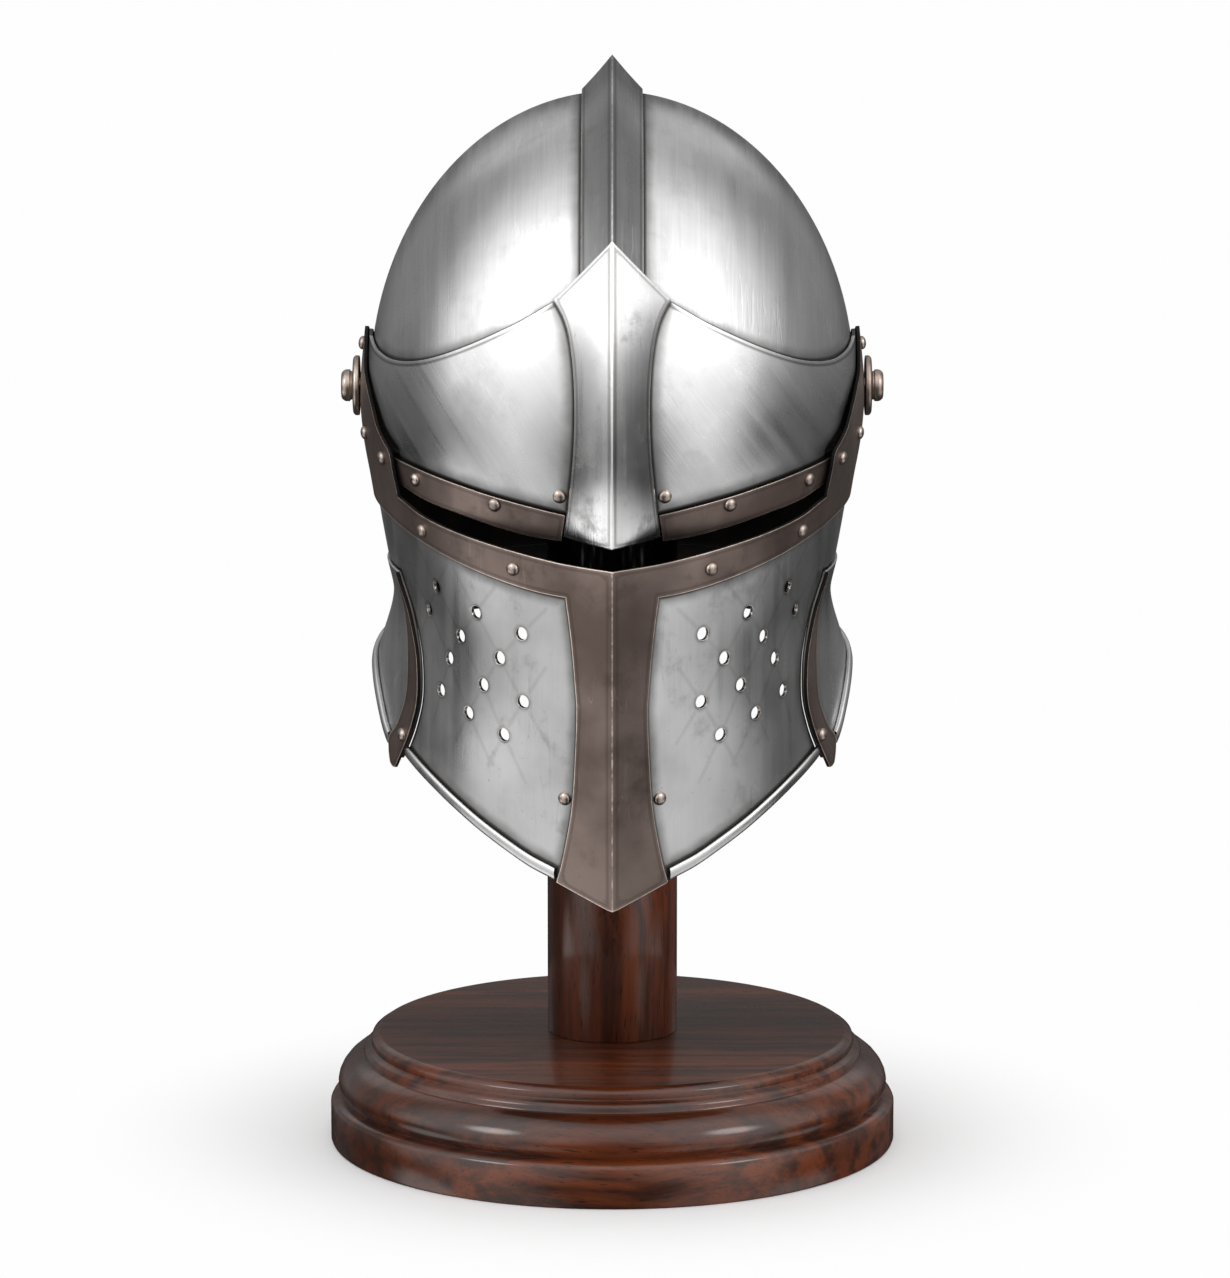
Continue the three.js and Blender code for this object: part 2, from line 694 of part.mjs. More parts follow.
function nasalPlate() {
  const corner = nasalWidths[nasalWidths.length - 1];
  const foot = nasalWidths[0].angle;
  const rows = steps(0, 1, 9);
  const cornerHalf = corner.wide * nasalHalfWidth;
  const topAt = (x) => mix(nasalApex, corner.angle, x / cornerHalf);
  const footAt = (x) => mix(foot + 1.9, foot, x / cornerHalf);
  const inner = [0, 0.5, 1].map((t) => t * combHalfWidth);
  const right = [...inner, null];
  const column = (x, v) => {
    if (x !== null) return [x, mix(footAt(x), topAt(x), v)];
    const angle = mix(foot, corner.angle, v);
    return [nasalHalfWidth * smooth(nasalWidths, 'angle', 'wide', angle), angle];
  };
  const grid = rows.map((v) => {
    const half = right.map((x) => column(x, v));
    return [...half.slice(1).reverse().map(([a, b]) => [-a, b]), ...half];
  });
  return sheetSolid(nasalFace, [grid], 0, -sheet, true);
}

// Point of the bevor given by its distance behind or before the pivot instead of an angle
function bevorAngle(y, drop) {
  const section = bevorSection(drop);
  let low = 0;
  let high = 180;
  for (let i = 0; i < 34; i += 1) {
    const angle = (low + high) / 2;
    if (-sectionRadius(section, angle) * Math.cos(angle * DEG) < y) low = angle;
    else high = angle;
  }
  return (low + high) / 2;
}

// Arm outline: front and rear distances from the pivot at each drop, as shares of armRadius.
// Its top end is round about the pivot, and its foot stands on the slit corner.
const armOutline = [
  { drop: -0.6, front: -0.8, rear: 0.8 },
  { drop: -0.38, front: -1.02, rear: 0.925 },
  { drop: -0.22, front: -1.35, rear: 0.98 },
  { drop: 0.1, front: -1.82, rear: 1 },
  { drop: 0.4, front: -2.13, rear: 0.98 },
  { drop: 0.6, front: -2.45, rear: 0.97 },
  { drop: 0.72, front: -2.64, rear: 0.96 },
  { drop: 1, front: -2.67, rear: 0.93 },
  { drop: 1.463, front: -2.66, rear: 0.8 },
];
const armShares = [0, 0.16, 0.36, 0.56, 0.78, 1];
const armPoint = (drop, front, rear, t) => [bevorAngle(mix(front, rear, t), drop), drop];

function armRows() {
  const round = [-1, -0.93, -0.8].map((share) => {
    const half = circleArc(armRadius, share * armRadius);
    return armShares.map((t) => armPoint(share * armRadius, -half, half, t));
  });
  const body = armOutline.map(({ drop, front, rear }) => (
    armShares.map((t) => armPoint(drop * armRadius, front * armRadius, rear * armRadius, t))));
  return [...round, ...body];
}

// Lower edges of the face frame's cross band, and the top edge of the slit, as shares of chinDrop by angle
const slitEdge = [
  { angle: 0, top: 0.2798, foot: 0.342 },
  { angle: 8, top: 0.2705, foot: 0.339 },
  { angle: 14.3, top: 0.2594, foot: 0.331 },
  { angle: 23, top: 0.2432, foot: 0.3125 },
  { angle: 33.5, top: 0.2246, foot: 0.288 },
  { angle: 42.7, top: 0.2075, foot: 0.2675 },
  { angle: 52.7, top: 0.1833, foot: 0.249 },
  { angle: 63, top: 0.1833, foot: 0.233 },
  { angle: 80, top: 0.1833, foot: 0.222 },
  { angle: 100, top: 0.1833, foot: 0.219 },
];
const slitTop = (angle) => chinDrop * smooth(slitEdge, 'angle', 'top', Math.abs(angle));
const bandFoot = (angle) => chinDrop * smooth(slitEdge, 'angle', 'foot', Math.abs(angle));

// Half width of the keel band, in degrees from the front, at shares of chinDrop
const keelEdge = [
  { drop: 0.25, angle: 8 },
  { drop: 0.34, angle: 8 },
  { drop: 0.386, angle: 7.5 },
  { drop: 0.446, angle: 6.9 },
  { drop: 0.52, angle: 6.4 },
  { drop: 0.574, angle: 6.15 },
  { drop: 0.677, angle: 6.6 },
  { drop: 0.785, angle: 7.5 },
  { drop: 0.853, angle: 8.7 },
  { drop: 0.918, angle: 10.2 },
  { drop: 0.952, angle: 11.3 },
  { drop: 1, angle: 12.6 },
];
const keelAngle = (drop) => smooth(keelEdge, 'drop', 'angle', drop / chinDrop);

// Lower edge of the bevor by angle, as a share of chinDrop
const chinEdge = [
  { angle: 0, drop: 1 },
  { angle: 6, drop: 0.973 },
  { angle: 12.1, drop: 0.947 },
  { angle: 17.7, drop: 0.926 },
  { angle: 24, drop: 0.896 },
  { angle: 30.5, drop: 0.865 },
  { angle: 37.9, drop: 0.829 },
  { angle: 46.5, drop: 0.791 },
  { angle: 57.5, drop: 0.751 },
  { angle: 66, drop: 0.725 },
];
const chinLine = (angle) => chinDrop * smooth(chinEdge, 'angle', 'drop', Math.abs(angle));

function faceFrame() {
  const grids = [];
  const keelTop = 8;
  const rows = [0, 0.5, 1];
  const keelShares = [-1, -0.5, 0, 0.5, 1];
  const upper = rows.map((v) => keelShares.map((c) => {
    const angle = c * keelTop;
    return [angle, mix(slitTop(angle), bandFoot(angle), v)];
  }));
  const lower = steps(0, 1, 9).slice(1).map((v) => keelShares.map((c) => {
    let angle = c * keelTop;
    let drop = 0;
    for (let i = 0; i < 5; i += 1) {
      drop = mix(bandFoot(c * keelTop), chinLine(angle), v);
      angle = c * keelAngle(drop);
    }
    return [angle, drop];
  }));
  grids.push([...upper, ...lower]);
  const arms = armRows();
  const footRow = arms[arms.length - 1];
  const slitCorner = footRow[0][0];
  for (const { sign } of sides) {
    const bandAngles = [keelTop, 13, 18.5, 24, 30, 36, 42, 47.5, slitCorner];
    const band = rows.map((v) => bandAngles.map((angle) => (
      [sign * angle, angle === slitCorner
        ? mix(slitTopDrop, bandFoot(angle), v)
        : mix(slitTop(angle), bandFoot(angle), v)])));
    const foot = rows.map((v) => (
      footRow.map(([angle, drop]) => [sign * angle, mix(drop, bandFoot(angle), v)])));
    const arm = arms.map((row) => row.map(([angle, drop]) => [sign * angle, drop]));
    grids.push(band, foot, arm);
  }
  const shell = sheetSolid(bevorFace, grids, frameLift, seatGap, true);
  return drill(shell, sides.map(({ sign }) => pivotCutter(sign)));
}

// Breath holes: angle from the front, and drop as a share of chinDrop
const breathHoles = [
  { angle: 41.7, drop: 0.361 },
  { angle: 47, drop: 0.418 },
  { angle: 28.9, drop: 0.396 },
  { angle: 34.3, drop: 0.455 },
  { angle: 17.6, drop: 0.427 },
  { angle: 38.6, drop: 0.508 },
  { angle: 23, drop: 0.485 },
  { angle: 27.6, drop: 0.548 },
  { angle: 42, drop: 0.581 },
  { angle: 17.7, drop: 0.571 },
  { angle: 32.4, drop: 0.615 },
  { angle: 22.8, drop: 0.648 },
];

// Cheek plates lie under the frame, reach back over the skull's sides and stop beside the neck guard's edge
const frameLap = 4;
const cheekRear = [
  { drop: 0.2, behind: 0.78 },
  { drop: 0.28, behind: 0.35 },
  { drop: 0.348, behind: -0.2 },
];
const lobeDrop = waistDrop - 1.4;

function cheekPlate(sign) {
  const inner = (drop) => keelAngle(drop) - 2;
  const outer = (drop) => edgeAngle(drop) - guardButt;
  const top = (angle) => bandFoot(angle) - frameLap;
  const columns = [0, 0.14, 0.3, 0.46, 0.62, 0.77, 0.9, 1];
  const at = (t, from, to, v) => {
    let angle = 30;
    let drop = 60;
    for (let i = 0; i < 6; i += 1) {
      drop = mix(from(angle), to(angle), v);
      angle = mix(inner(drop), outer(drop), t);
    }
    return [sign * angle, drop];
  };
  const upper = steps(0, 1, 3).map((v) => columns.map((t) => at(t, top, () => lobeDrop, v)));
  const lower = steps(0, 1, 8).map((v) => columns.map((t) => at(t, () => lobeDrop, chinLine, v)));
  const rear = upper.map((row) => {
    const [angle, drop] = row[row.length - 1];
    const behind = armRadius * smooth(cheekRear, 'drop', 'behind', drop / chinDrop);
    return steps(0, 1, 4).map((t) => [sign * mix(Math.abs(angle), bevorAngle(behind, drop), t), drop]);
  });
  const shell = sheetSolid(bevorFace, [upper, lower, rear], 0, -sheet, false);
  const cutters = breathHoles.map(({ angle, drop }) => {
    const centre = bevorFace(sign * angle, drop * chinDrop);
    const away = offsetFace(bevorFace, sign * angle, drop * chinDrop, 1, false).sub(centre);
    return roundBar(centre, away, breathHoleRadius, 10, 8);
  });
  return drill(shell, cutters);
}

function chinRim(sign) {
  const line = steps(13.6, 57, 12).map((angle) => [sign * angle, chinLine(angle) - rimWidth / 2 - 0.2]);
  return rollAlong(bevorFace, line, rimWidth, rimSeat, rimProud);
}

// Pivot: a washer and a round-headed bolt that goes through arm, wing and skull
function pivotDisc(side) {
  const inner = boltHole;
  const profile = [
    [inner, 0],
    [discRadius, 0],
    [discRadius, discThickness * 0.65],
    [discRadius - 1, discThickness],
    [inner, discThickness],
    [inner, 0],
  ].map(([x, y]) => new THREE.Vector2(x, y));
  const disc = new THREE.LatheGeometry(profile, 16);
  return disc.rotateZ(-side * Math.PI / 2).translate(side * discInner, 0, pivotHeight);
}

function pivotBolt(side) {
  const shank = headInner - (skullHalfWidth - sheet - 3);
  const profile = [
    [0, -shank],
    [boltRadius, -shank],
    [boltRadius, 0],
    [boltHeadRadius, 0],
    [boltHeadRadius, boltHeadHeight * 0.7],
    [boltHeadRadius * 0.86, boltHeadHeight],
    [0, boltHeadHeight],
  ].map(([x, y]) => new THREE.Vector2(x, y));
  const bolt = new THREE.LatheGeometry(profile, 14);
  return bolt.rotateZ(-side * Math.PI / 2).translate(side * headInner, 0, pivotHeight);
}

// Rivets of the bevor's arms, charted from the pivot as shares of armRadius
const armRivets = [
  { name: 'arm_rivet_top', behind: 0, drop: -0.72 },
  { name: 'arm_rivet_middle', behind: -1.17, drop: 0.62 },
  { name: 'arm_rivet_foot', behind: -2.3, drop: 0.867 },
];

// Rivets along the cross band and at the foot of each cheek:
// angle from the front, and drop as a share of chinDrop
const bandRivets = [
  { name: 'band_rivet_outer', angle: 42.9, drop: 0.2405 },
  { name: 'band_rivet_inner', angle: 18.4, drop: 0.2885 },
];
const cheekRivet = { name: 'cheek_rivet', angle: 9.3, drop: 0.769 };

// Rivets of the visor in degrees of arc from the pivot: two through the brow band, one in the bare plate
const visorRivets = [
  { name: 'brow_rivet_outer', along: 37.7, up: -13.6, lift: seatGap + bandSheet },
  { name: 'brow_rivet_inner', along: 60.3, up: -18.4, lift: seatGap + bandSheet },
  { name: 'nose_rivet', along: 76.2, up: -17.6, lift: 0 },
];

// The rivet in the tab of each guard border
const tabRivet = { name: 'tab_rivet', angle: 58, drop: 0.7 };

addPiece('stand_foot', standFoot(), 'wood');
addPiece('stand_post', standPost(), 'wood');
addPiece('skull', skullShell(), 'steel');
addPiece('comb', combStrip(), 'steel');
addPiece('neck_guard', neckGuard(), 'steel');
addPiece('nasal_plate', nasalPlate(), 'steel');
addPiece('face_frame', faceFrame(), 'band');

for (const { name, sign } of sides) {
  const addRivet = (rivet, face, angle, drop, offset) => (
    addPiece(`${rivet}_${name}`, rivetHead(face, angle, drop, offset), 'fastener'));

  addPiece(`neck_rim_${name}`, neckRim(sign), 'steel');
  addPiece(`guard_border_${name}`, guardBorder(sign), 'band');
  addPiece(`pivot_disc_${name}`, pivotDisc(sign), 'fastener');
  addPiece(`pivot_bolt_${name}`, pivotBolt(sign), 'fastener');
  addPiece(`brow_plate_${name}`, browPlate(sign), 'steel');
  addPiece(`brow_band_${name}`, browBand(sign), 'band');
  addPiece(`cheek_plate_${name}`, cheekPlate(sign), 'steel');
  addPiece(`chin_rim_${name}`, chinRim(sign), 'steel');
  for (const rivet of armRivets) {
    const drop = rivet.drop * armRadius;
    const angle = sign * bevorAngle(rivet.behind * armRadius, drop);
    addRivet(rivet.name, bevorFace, angle, drop, frameLift);
  }
  for (const rivet of bandRivets) {
    addRivet(rivet.name, bevorFace, sign * rivet.angle, rivet.drop * chinDrop, frameLift);
  }
  addRivet(cheekRivet.name, bevorFace, sign * cheekRivet.angle, cheekRivet.drop * chinDrop, 0);
  for (const rivet of visorRivets) {
    addRivet(rivet.name, browFace(sign), rivet.along, rivet.up, rivet.lift);
  }
  addRivet(tabRivet.name, guardFace, sign * tabRivet.angle, tabRivet.drop * chinDrop, seatGap + sheet);
}

export default helmet;
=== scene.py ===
# %% [markdown]
# # A close helmet on a turned wooden stand
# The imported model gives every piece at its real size, on the body that it moves with. This lesson remakes the
# same pieces as finished metalwork: sheets with a real thickness and softly worn edges, domed rivets, rolled
# rims and a varnished foot. Sizes are in millimetres, as on a workshop drawing, and go to metres when laid.

# %% Load the frame
import json
import math
import bpy
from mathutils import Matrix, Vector, bvhtree, kdtree

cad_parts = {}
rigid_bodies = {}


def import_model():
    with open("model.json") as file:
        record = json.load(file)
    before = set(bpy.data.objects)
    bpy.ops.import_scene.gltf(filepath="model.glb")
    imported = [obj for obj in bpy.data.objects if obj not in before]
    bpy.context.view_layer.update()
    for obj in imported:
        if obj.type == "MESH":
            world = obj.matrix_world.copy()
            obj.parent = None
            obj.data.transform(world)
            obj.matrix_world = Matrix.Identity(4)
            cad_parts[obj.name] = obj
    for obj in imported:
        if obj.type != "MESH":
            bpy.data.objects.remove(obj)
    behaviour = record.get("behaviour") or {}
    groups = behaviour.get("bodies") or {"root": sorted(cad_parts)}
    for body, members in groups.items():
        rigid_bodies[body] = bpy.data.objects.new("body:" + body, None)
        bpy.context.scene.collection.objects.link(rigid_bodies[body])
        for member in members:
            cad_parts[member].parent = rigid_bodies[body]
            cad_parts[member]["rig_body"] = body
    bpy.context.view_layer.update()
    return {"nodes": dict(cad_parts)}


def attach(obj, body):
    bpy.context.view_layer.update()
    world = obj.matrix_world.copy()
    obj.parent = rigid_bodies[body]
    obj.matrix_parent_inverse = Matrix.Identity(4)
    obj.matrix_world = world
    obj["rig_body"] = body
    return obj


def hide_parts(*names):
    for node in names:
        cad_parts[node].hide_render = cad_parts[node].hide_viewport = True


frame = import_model()

# %% [markdown]
# ## Sizes
# An armourer starts from the head: how wide and deep the skull is, and how far each plate stands off the one
# below it. The numbers are the CAD model's own, so a piece made here lies exactly where its solid does.

# %% Sizes of the helmet and its stand
MM = 0.001
SHEET = 1.5
BAND_SHEET = 1.2
COMB_SHEET = 1.6
SEAT_GAP = 0.3
PIVOT_HEIGHT = 353
SKULL_HALF_WIDTH = 110.5
SKULL_FRONT = 134
SKULL_BACK = 128
BROW_DROP = 26
NAPE_DROP = 90
OPENING_TOP = 62
OPENING_FOOT = 69
COMB_HALF_WIDTH = 13.8
COMB_CREST = SKULL_FRONT + 16.5
VISOR_HALF_WIDTH = SKULL_HALF_WIDTH + 0.6 + SHEET
VISOR_REACH = SKULL_FRONT + 0.9 + SHEET
BEVOR_HALF_WIDTH = VISOR_HALF_WIDTH + 0.6
KEEL_REACH = VISOR_REACH + 11.8
NASAL_CREST = COMB_CREST + 0.9 + 2 * SHEET
NASAL_HALF_WIDTH = 16.4
CHIN_DROP = 215.5
ARM_RADIUS = 27
WING_RADIUS = 26
WAIST_DROP = 78
GUARD_STAND = 1.2
GUARD_FLARE = 5.4
FRAME_LIFT = SEAT_GAP + SHEET
print("skull", 2 * SKULL_HALF_WIDTH, "mm wide; keel", round(KEEL_REACH, 1), "mm before the pivot")

# %% [markdown]
# ## Reading a table smoothly
# The edges of the plates are flowing curves. Each is kept as a few rows, as a pattern is kept on card, and a
# curve is passed through them, so that a plate can have as many points as its finish needs.

# %% A smooth value between the rows of a table
def smooth(rows, column, at):
    last = len(rows) - 1
    i = 0
    while i < last - 1 and at > rows[i + 1][0]:
        i += 1

    def slope(k):
        low, high = max(0, k - 1), min(last, k + 1)
        return (rows[high][column] - rows[low][column]) / (rows[high][0] - rows[low][0])

    span = rows[i + 1][0] - rows[i][0]
    t = min(1, max(0, (at - rows[i][0]) / span))
    return ((2 * t ** 3 - 3 * t ** 2 + 1) * rows[i][column]
            + (t ** 3 - 2 * t ** 2 + t) * span * slope(i)
            + (3 * t ** 2 - 2 * t ** 3) * rows[i + 1][column]
            + (t ** 3 - t ** 2) * span * slope(i + 1))


def mix(a, b, t):
    return a + (b - a) * t


def ease(t):
    t = min(1, max(0, t))
    return t * t * (3 - 2 * t)


def shares(count, length, hem=0.7):
    """Shares from 0 to 1, with one more close to each end to hold the edge crisp"""
    inner = [i / count for i in range(1, count) if hem < i * length / count < length - hem]
    return [0, hem / length, *inner, 1 - hem / length, 1]


print("half way up a slope from 0 to 1:", smooth([(0, 0), (1, 1)], 1, 0.5))

# %% [markdown]
# ## The face of the bevor
# The bevor is a keel in front that runs into rounded cheeks. Level sections describe it best: each has a half
# width, a reach to the keel, and a fullness that squares it at the sides. Between sections it is smooth.

# %% Level sections of the bevor and the skull
# drop, half width, reach, taper, fullness, back
BEVOR_SECTIONS = [
    (-0.14, 0.977, 0.927, 0, 2, 0.98),
    (0, 1, 0.95, 0, 2.1, 1),
    (0.093, 0.99, 0.97, 0.08, 2.5, 0.98),
    (0.186, 0.96, 0.987, 0.21, 3.1, 0.95),
    (0.278, 0.931, 1, 0.28, 3.4, 0.88),
    (0.348, 0.907, 1, 0.31, 3.5, 0.822),
    (0.441, 0.872, 0.997, 0.33, 3.6, 0.785),
    (0.58, 0.895, 0.983, 0.37, 3.8, 0.8),
    (0.766, 0.937, 0.943, 0.43, 4, 0.84),
    (1.067, 0.955, 0.88, 0.47, 4, 0.86),
]
# drop, half width, back
SKULL_SECTIONS = [
    (0, 1, 1),
    (0.28, 0.9825, 0.975),
    (0.45, 0.957, 0.935),
    (0.67, 0.925, 0.875),
    (0.83, 0.915, 0.82),
    (1, 0.905, 0.79),
]


def on_section(section, phi):
    half, reach, taper, fullness, back = section
    if phi <= math.pi / 2:
        side = math.sin(phi) ** (2 / fullness)
        return half * side, -reach * (1 - taper * side) * math.cos(phi)
    return half * math.sin(phi), -back * math.cos(phi)


def find_phi(section, reached):
    low, high = 0.0, math.pi
    for _ in range(30):
        phi = (low + high) / 2
        if reached(*on_section(section, phi)):
            high = phi
        else:
            low = phi
    return on_section(section, (low + high) / 2)


def section_radius(section, angle):
    """Distance from the upright axis to a section, looking along angle degrees from the front"""
    target = math.radians(abs(angle))
    return math.hypot(*find_phi(section, lambda x, y: math.atan2(x, -y) >= target))


known_sections = {}


def bevor_section(drop):
    if drop not in known_sections:
        at = drop / CHIN_DROP
        half, reach, taper, fullness, back = [smooth(BEVOR_SECTIONS, c, at) for c in range(1, 6)]
        known_sections[drop] = (BEVOR_HALF_WIDTH * half, KEEL_REACH * reach, taper, fullness,
                                SKULL_BACK * back)
    return known_sections[drop]


def place_round(radius, angle, drop):
    turn = math.radians(angle)
    return Vector((radius * math.sin(turn), -radius * math.cos(turn), PIVOT_HEIGHT - drop))


def bevor_face(a, b):
    return place_round(section_radius(bevor_section(b), a), a, b)


def bevor_angle(y, drop):
    """The angle of the bevor's point that lies y behind the pivot"""
    x, y = find_phi(bevor_section(drop), lambda _, behind: behind >= y)
    return math.degrees(math.atan2(x, -y))


print("bevor's half width at the pivot:", round(bevor_face(90, 0).x, 1), "mm")

# %% [markdown]
# ## The faces of the skull, the neck guard and the visor
# The skull is an egg above the pivot and draws in towards the nape below it. The neck guard follows it and then
# flares. The visor swings, so its plates are turned about the pivot axis: they are charted by how many degrees
# of arc a point lies towards the nose and how many up.

# %% The other faces
def skull_face(a, b):
    if b <= 0:
        ring = math.cos(math.radians(b))
        back = SKULL_BACK if abs(a) > 90 else SKULL_FRONT
        across = math.sin(math.radians(a)) / SKULL_HALF_WIDTH
        along = math.cos(math.radians(a)) / back
        return place_round(ring / math.hypot(across, along), a, SKULL_FRONT * math.sin(math.radians(b)))
    share = b / NAPE_DROP
    section = (SKULL_HALF_WIDTH * smooth(SKULL_SECTIONS, 1, share), math.sqrt(SKULL_FRONT ** 2 - b * b),
               0, 2, SKULL_BACK * smooth(SKULL_SECTIONS, 2, share))
    guard_inside = section_radius(bevor_section(b), a) + GUARD_STAND - SHEET
    return place_round(min(section_radius(section, a), guard_inside - 0.7), a, b)


# angle, drop, flare
GUARD_HEM = [
    (50, 0.79, 0),
    (60, 0.762, 0.05),
    (67, 0.733, 0.2),
    (75, 0.68, 0.45),
    (83, 0.63, 0.8),
    (90, 0.6, 1),
    (110, 0.567, 1.05),
    (180, 0.555, 1.1),
]


def hem_drop(angle):
    return CHIN_DROP * smooth(GUARD_HEM, 1, abs(angle))


def guard_face(a, b):
    share = (b - WAIST_DROP) / (hem_drop(a) - WAIST_DROP)
    flare = smooth(GUARD_HEM, 2, abs(a)) * ease((share - 0.2) / 0.8)
    return place_round(section_radius(bevor_section(b), a) + GUARD_STAND + GUARD_FLARE * flare, a, b)


def turned(x, radius, up):
    turn = math.radians(up)
    return Vector((x, -radius * math.cos(turn), PIVOT_HEIGHT + radius * math.sin(turn)))


def brow_radius(x):
    return VISOR_REACH * math.sqrt(max(0, 1 - (x / VISOR_HALF_WIDTH) ** 2))


def brow_face(a, b):
    arc = math.hypot(a, b)
    radius = VISOR_REACH * math.sin(math.radians(arc))
    return turned(VISOR_HALF_WIDTH * math.cos(math.radians(arc)), radius, math.degrees(math.atan2(b, a)))


# angle up, half width as a share
NASAL_WIDTHS = [
    (-21.3, 1.3), (-14, 1.16), (-6, 1.04), (1.5, 1), (9, 1.04), (15, 1.15), (19.6, 1.31), (24.4, 1.56),
]


def nasal_face(a, b):
    """Two flat planes from the ridge down to the brow plates at the nasal plate's edges"""
    half = NASAL_HALF_WIDTH * smooth(NASAL_WIDTHS, 1, b)
    foot = brow_radius(half) + SHEET + SEAT_GAP
    share = abs(a) / half
    return turned(a, mix(NASAL_CREST, foot, share) + 0.5 * math.sin(math.pi * min(1, share)), b)


def off_face(face, a, b, height):
    """A point standing height above a face, and the face's direction there"""
    step = 0.05
    across = face(a + step, b) - face(a - step, b)
    upward = face(a, b + step) - face(a, b - step)
    normal = across.cross(upward).normalized()
    point = face(a, b)
    if normal.dot(Vector((point.x, point.y, (point.z - PIVOT_HEIGHT) * 0.3))) < 0:
        normal.negate()
    return point + normal * height, normal


print("nasal crest:", round(-nasal_face(0, 0).y, 1), "mm before the pivot")

# %% [markdown]
# ## From a flat grid to a plate
# An armourer cuts a flat blank and raises it over a stake. Here the blank is a grid, its points are laid on the
# face, patches are welded where they meet, and the sheet then gets its thickness and a softly broken edge. The
# distance of each point to the plate's own edge is kept on the mesh, because wear starts at the edges; along a
# folded ridge the same distance paints a highlight.

# %% Helpers to select, lay and weld
def deselect():
    if bpy.context.mode != "OBJECT":
        bpy.ops.object.mode_set(mode="OBJECT")
    bpy.ops.object.select_all(action="DESELECT")


def edit(piece):
    deselect()
    piece.select_set(True)
    bpy.context.view_layer.objects.active = piece
    bpy.ops.object.mode_set(mode="EDIT")
    bpy.ops.mesh.select_all(action="SELECT")


def turn_out(piece):
    """Turns a sheet or a body over if its faces look inwards"""
    piece.data.update()
    total = 0.0
    for face in piece.data.polygons:
        away = face.center - Vector((0, 0, PIVOT_HEIGHT * MM))
        total += face.area * face.normal.dot(Vector((away.x, away.y, away.z * 0.3)))
    if total < 0:
        edit(piece)
        bpy.ops.mesh.flip_normals()
        deselect()


def lay_sheet(columns, rows, place):
    deselect()
    bpy.ops.mesh.primitive_grid_add(x_subdivisions=len(columns) - 1, y_subdivisions=len(rows) - 1, size=2)
    sheet = bpy.context.object
    points = (place(u, v) for v in rows for u in columns)
    for vertex, point in zip(sheet.data.vertices, points):
        vertex.co = point * MM
    turn_out(sheet)
    return sheet


def weld(patches, gap=0.05):
    deselect()
    for patch in patches:
        patch.select_set(True)
    bpy.context.view_layer.objects.active = patches[0]
    if len(patches) > 1:
        bpy.ops.object.join()
    edit(patches[0])
    bpy.ops.mesh.remove_doubles(threshold=gap * MM)
    deselect()
    return patches[0]


def drop_faces(piece, chosen):
    """Deletes the faces whose middle is chosen"""
    edit(piece)
    bpy.ops.mesh.select_mode(type="FACE")
    bpy.ops.mesh.select_all(action="DESELECT")
    bpy.ops.object.mode_set(mode="OBJECT")
    for face in piece.data.polygons:
        face.select = chosen(face.center)
    bpy.ops.object.mode_set(mode="EDIT")
    bpy.ops.mesh.delete(type="FACE")
    bpy.ops.mesh.select_mode(type="VERT")
    deselect()


# %% Outlines, distances, thickness
FAR = 60.0
outlines = {}


def outline(piece):
    """Points along the open edges of a sheet, close together"""
    count = {}
    for face in piece.data.polygons:
        for key in face.edge_keys:
            count[key] = count.get(key, 0) + 1
    points = []
    for (start, end), faces in count.items():
        if faces == 1:
            p, q = piece.data.vertices[start].co, piece.data.vertices[end].co
            parts = max(1, round((q - p).length / (0.5 * MM)))
            points += [p.lerp(q, i / parts) for i in range(parts)]
    return points


def mirrored(points):
    return [Vector((-p.x, p.y, p.z)) for p in points]


def cover(piece):
    """A plate that hides what lies under it"""
    return bvhtree.BVHTree.FromPolygons([v.co for v in piece.data.vertices], [f.vertices for f in piece.data.polygons])


def hidden(vertex, covers):
    sides = [(vertex.co, vertex.normal)]
    sides.append((vertex.co * Vector((-1, 1, 1)), vertex.normal * Vector((-1, 1, 1))))
    return any(plate.ray_cast(co, normal, 8 * MM)[0] for plate in covers for co, normal in sides)


def mark(piece, name, points, covers=()):
    """Keeps each point's distance along the sheet to a line, in millimetres, below nought under a plate"""
    layer = piece.data.attributes.get(name) or piece.data.attributes.new(name, "FLOAT", "POINT")
    values = [FAR] * len(piece.data.vertices)
    if points:
        tree = kdtree.KDTree(len(points))
        for index, point in enumerate(points):
            tree.insert(point, index)
        tree.balance()
        for index, vertex in enumerate(piece.data.vertices):
            away = tree.find(vertex.co)[0] - vertex.co
            away -= vertex.normal * away.dot(vertex.normal)
            values[index] = min(FAR, away.length / MM)
            if covers and hidden(vertex, covers):
                values[index] *= -1
    layer.data.foreach_set("value", values)


def apply_modifier(piece, kind, **settings):
    deselect()
    piece.select_set(True)
    bpy.context.view_layer.objects.active = piece
    modifier = piece.modifiers.new(kind.lower(), kind)
    for key, value in settings.items():
        setattr(modifier, key, value)
    bpy.ops.object.modifier_apply(modifier=modifier.name)


def smooth_shade(piece, angle=34):
    deselect()
    piece.select_set(True)
    bpy.context.view_layer.objects.active = piece
    bpy.ops.object.shade_smooth_by_angle(angle=math.radians(angle))


RIDGE_HIGHLIGHT_SHIFT = 0.3


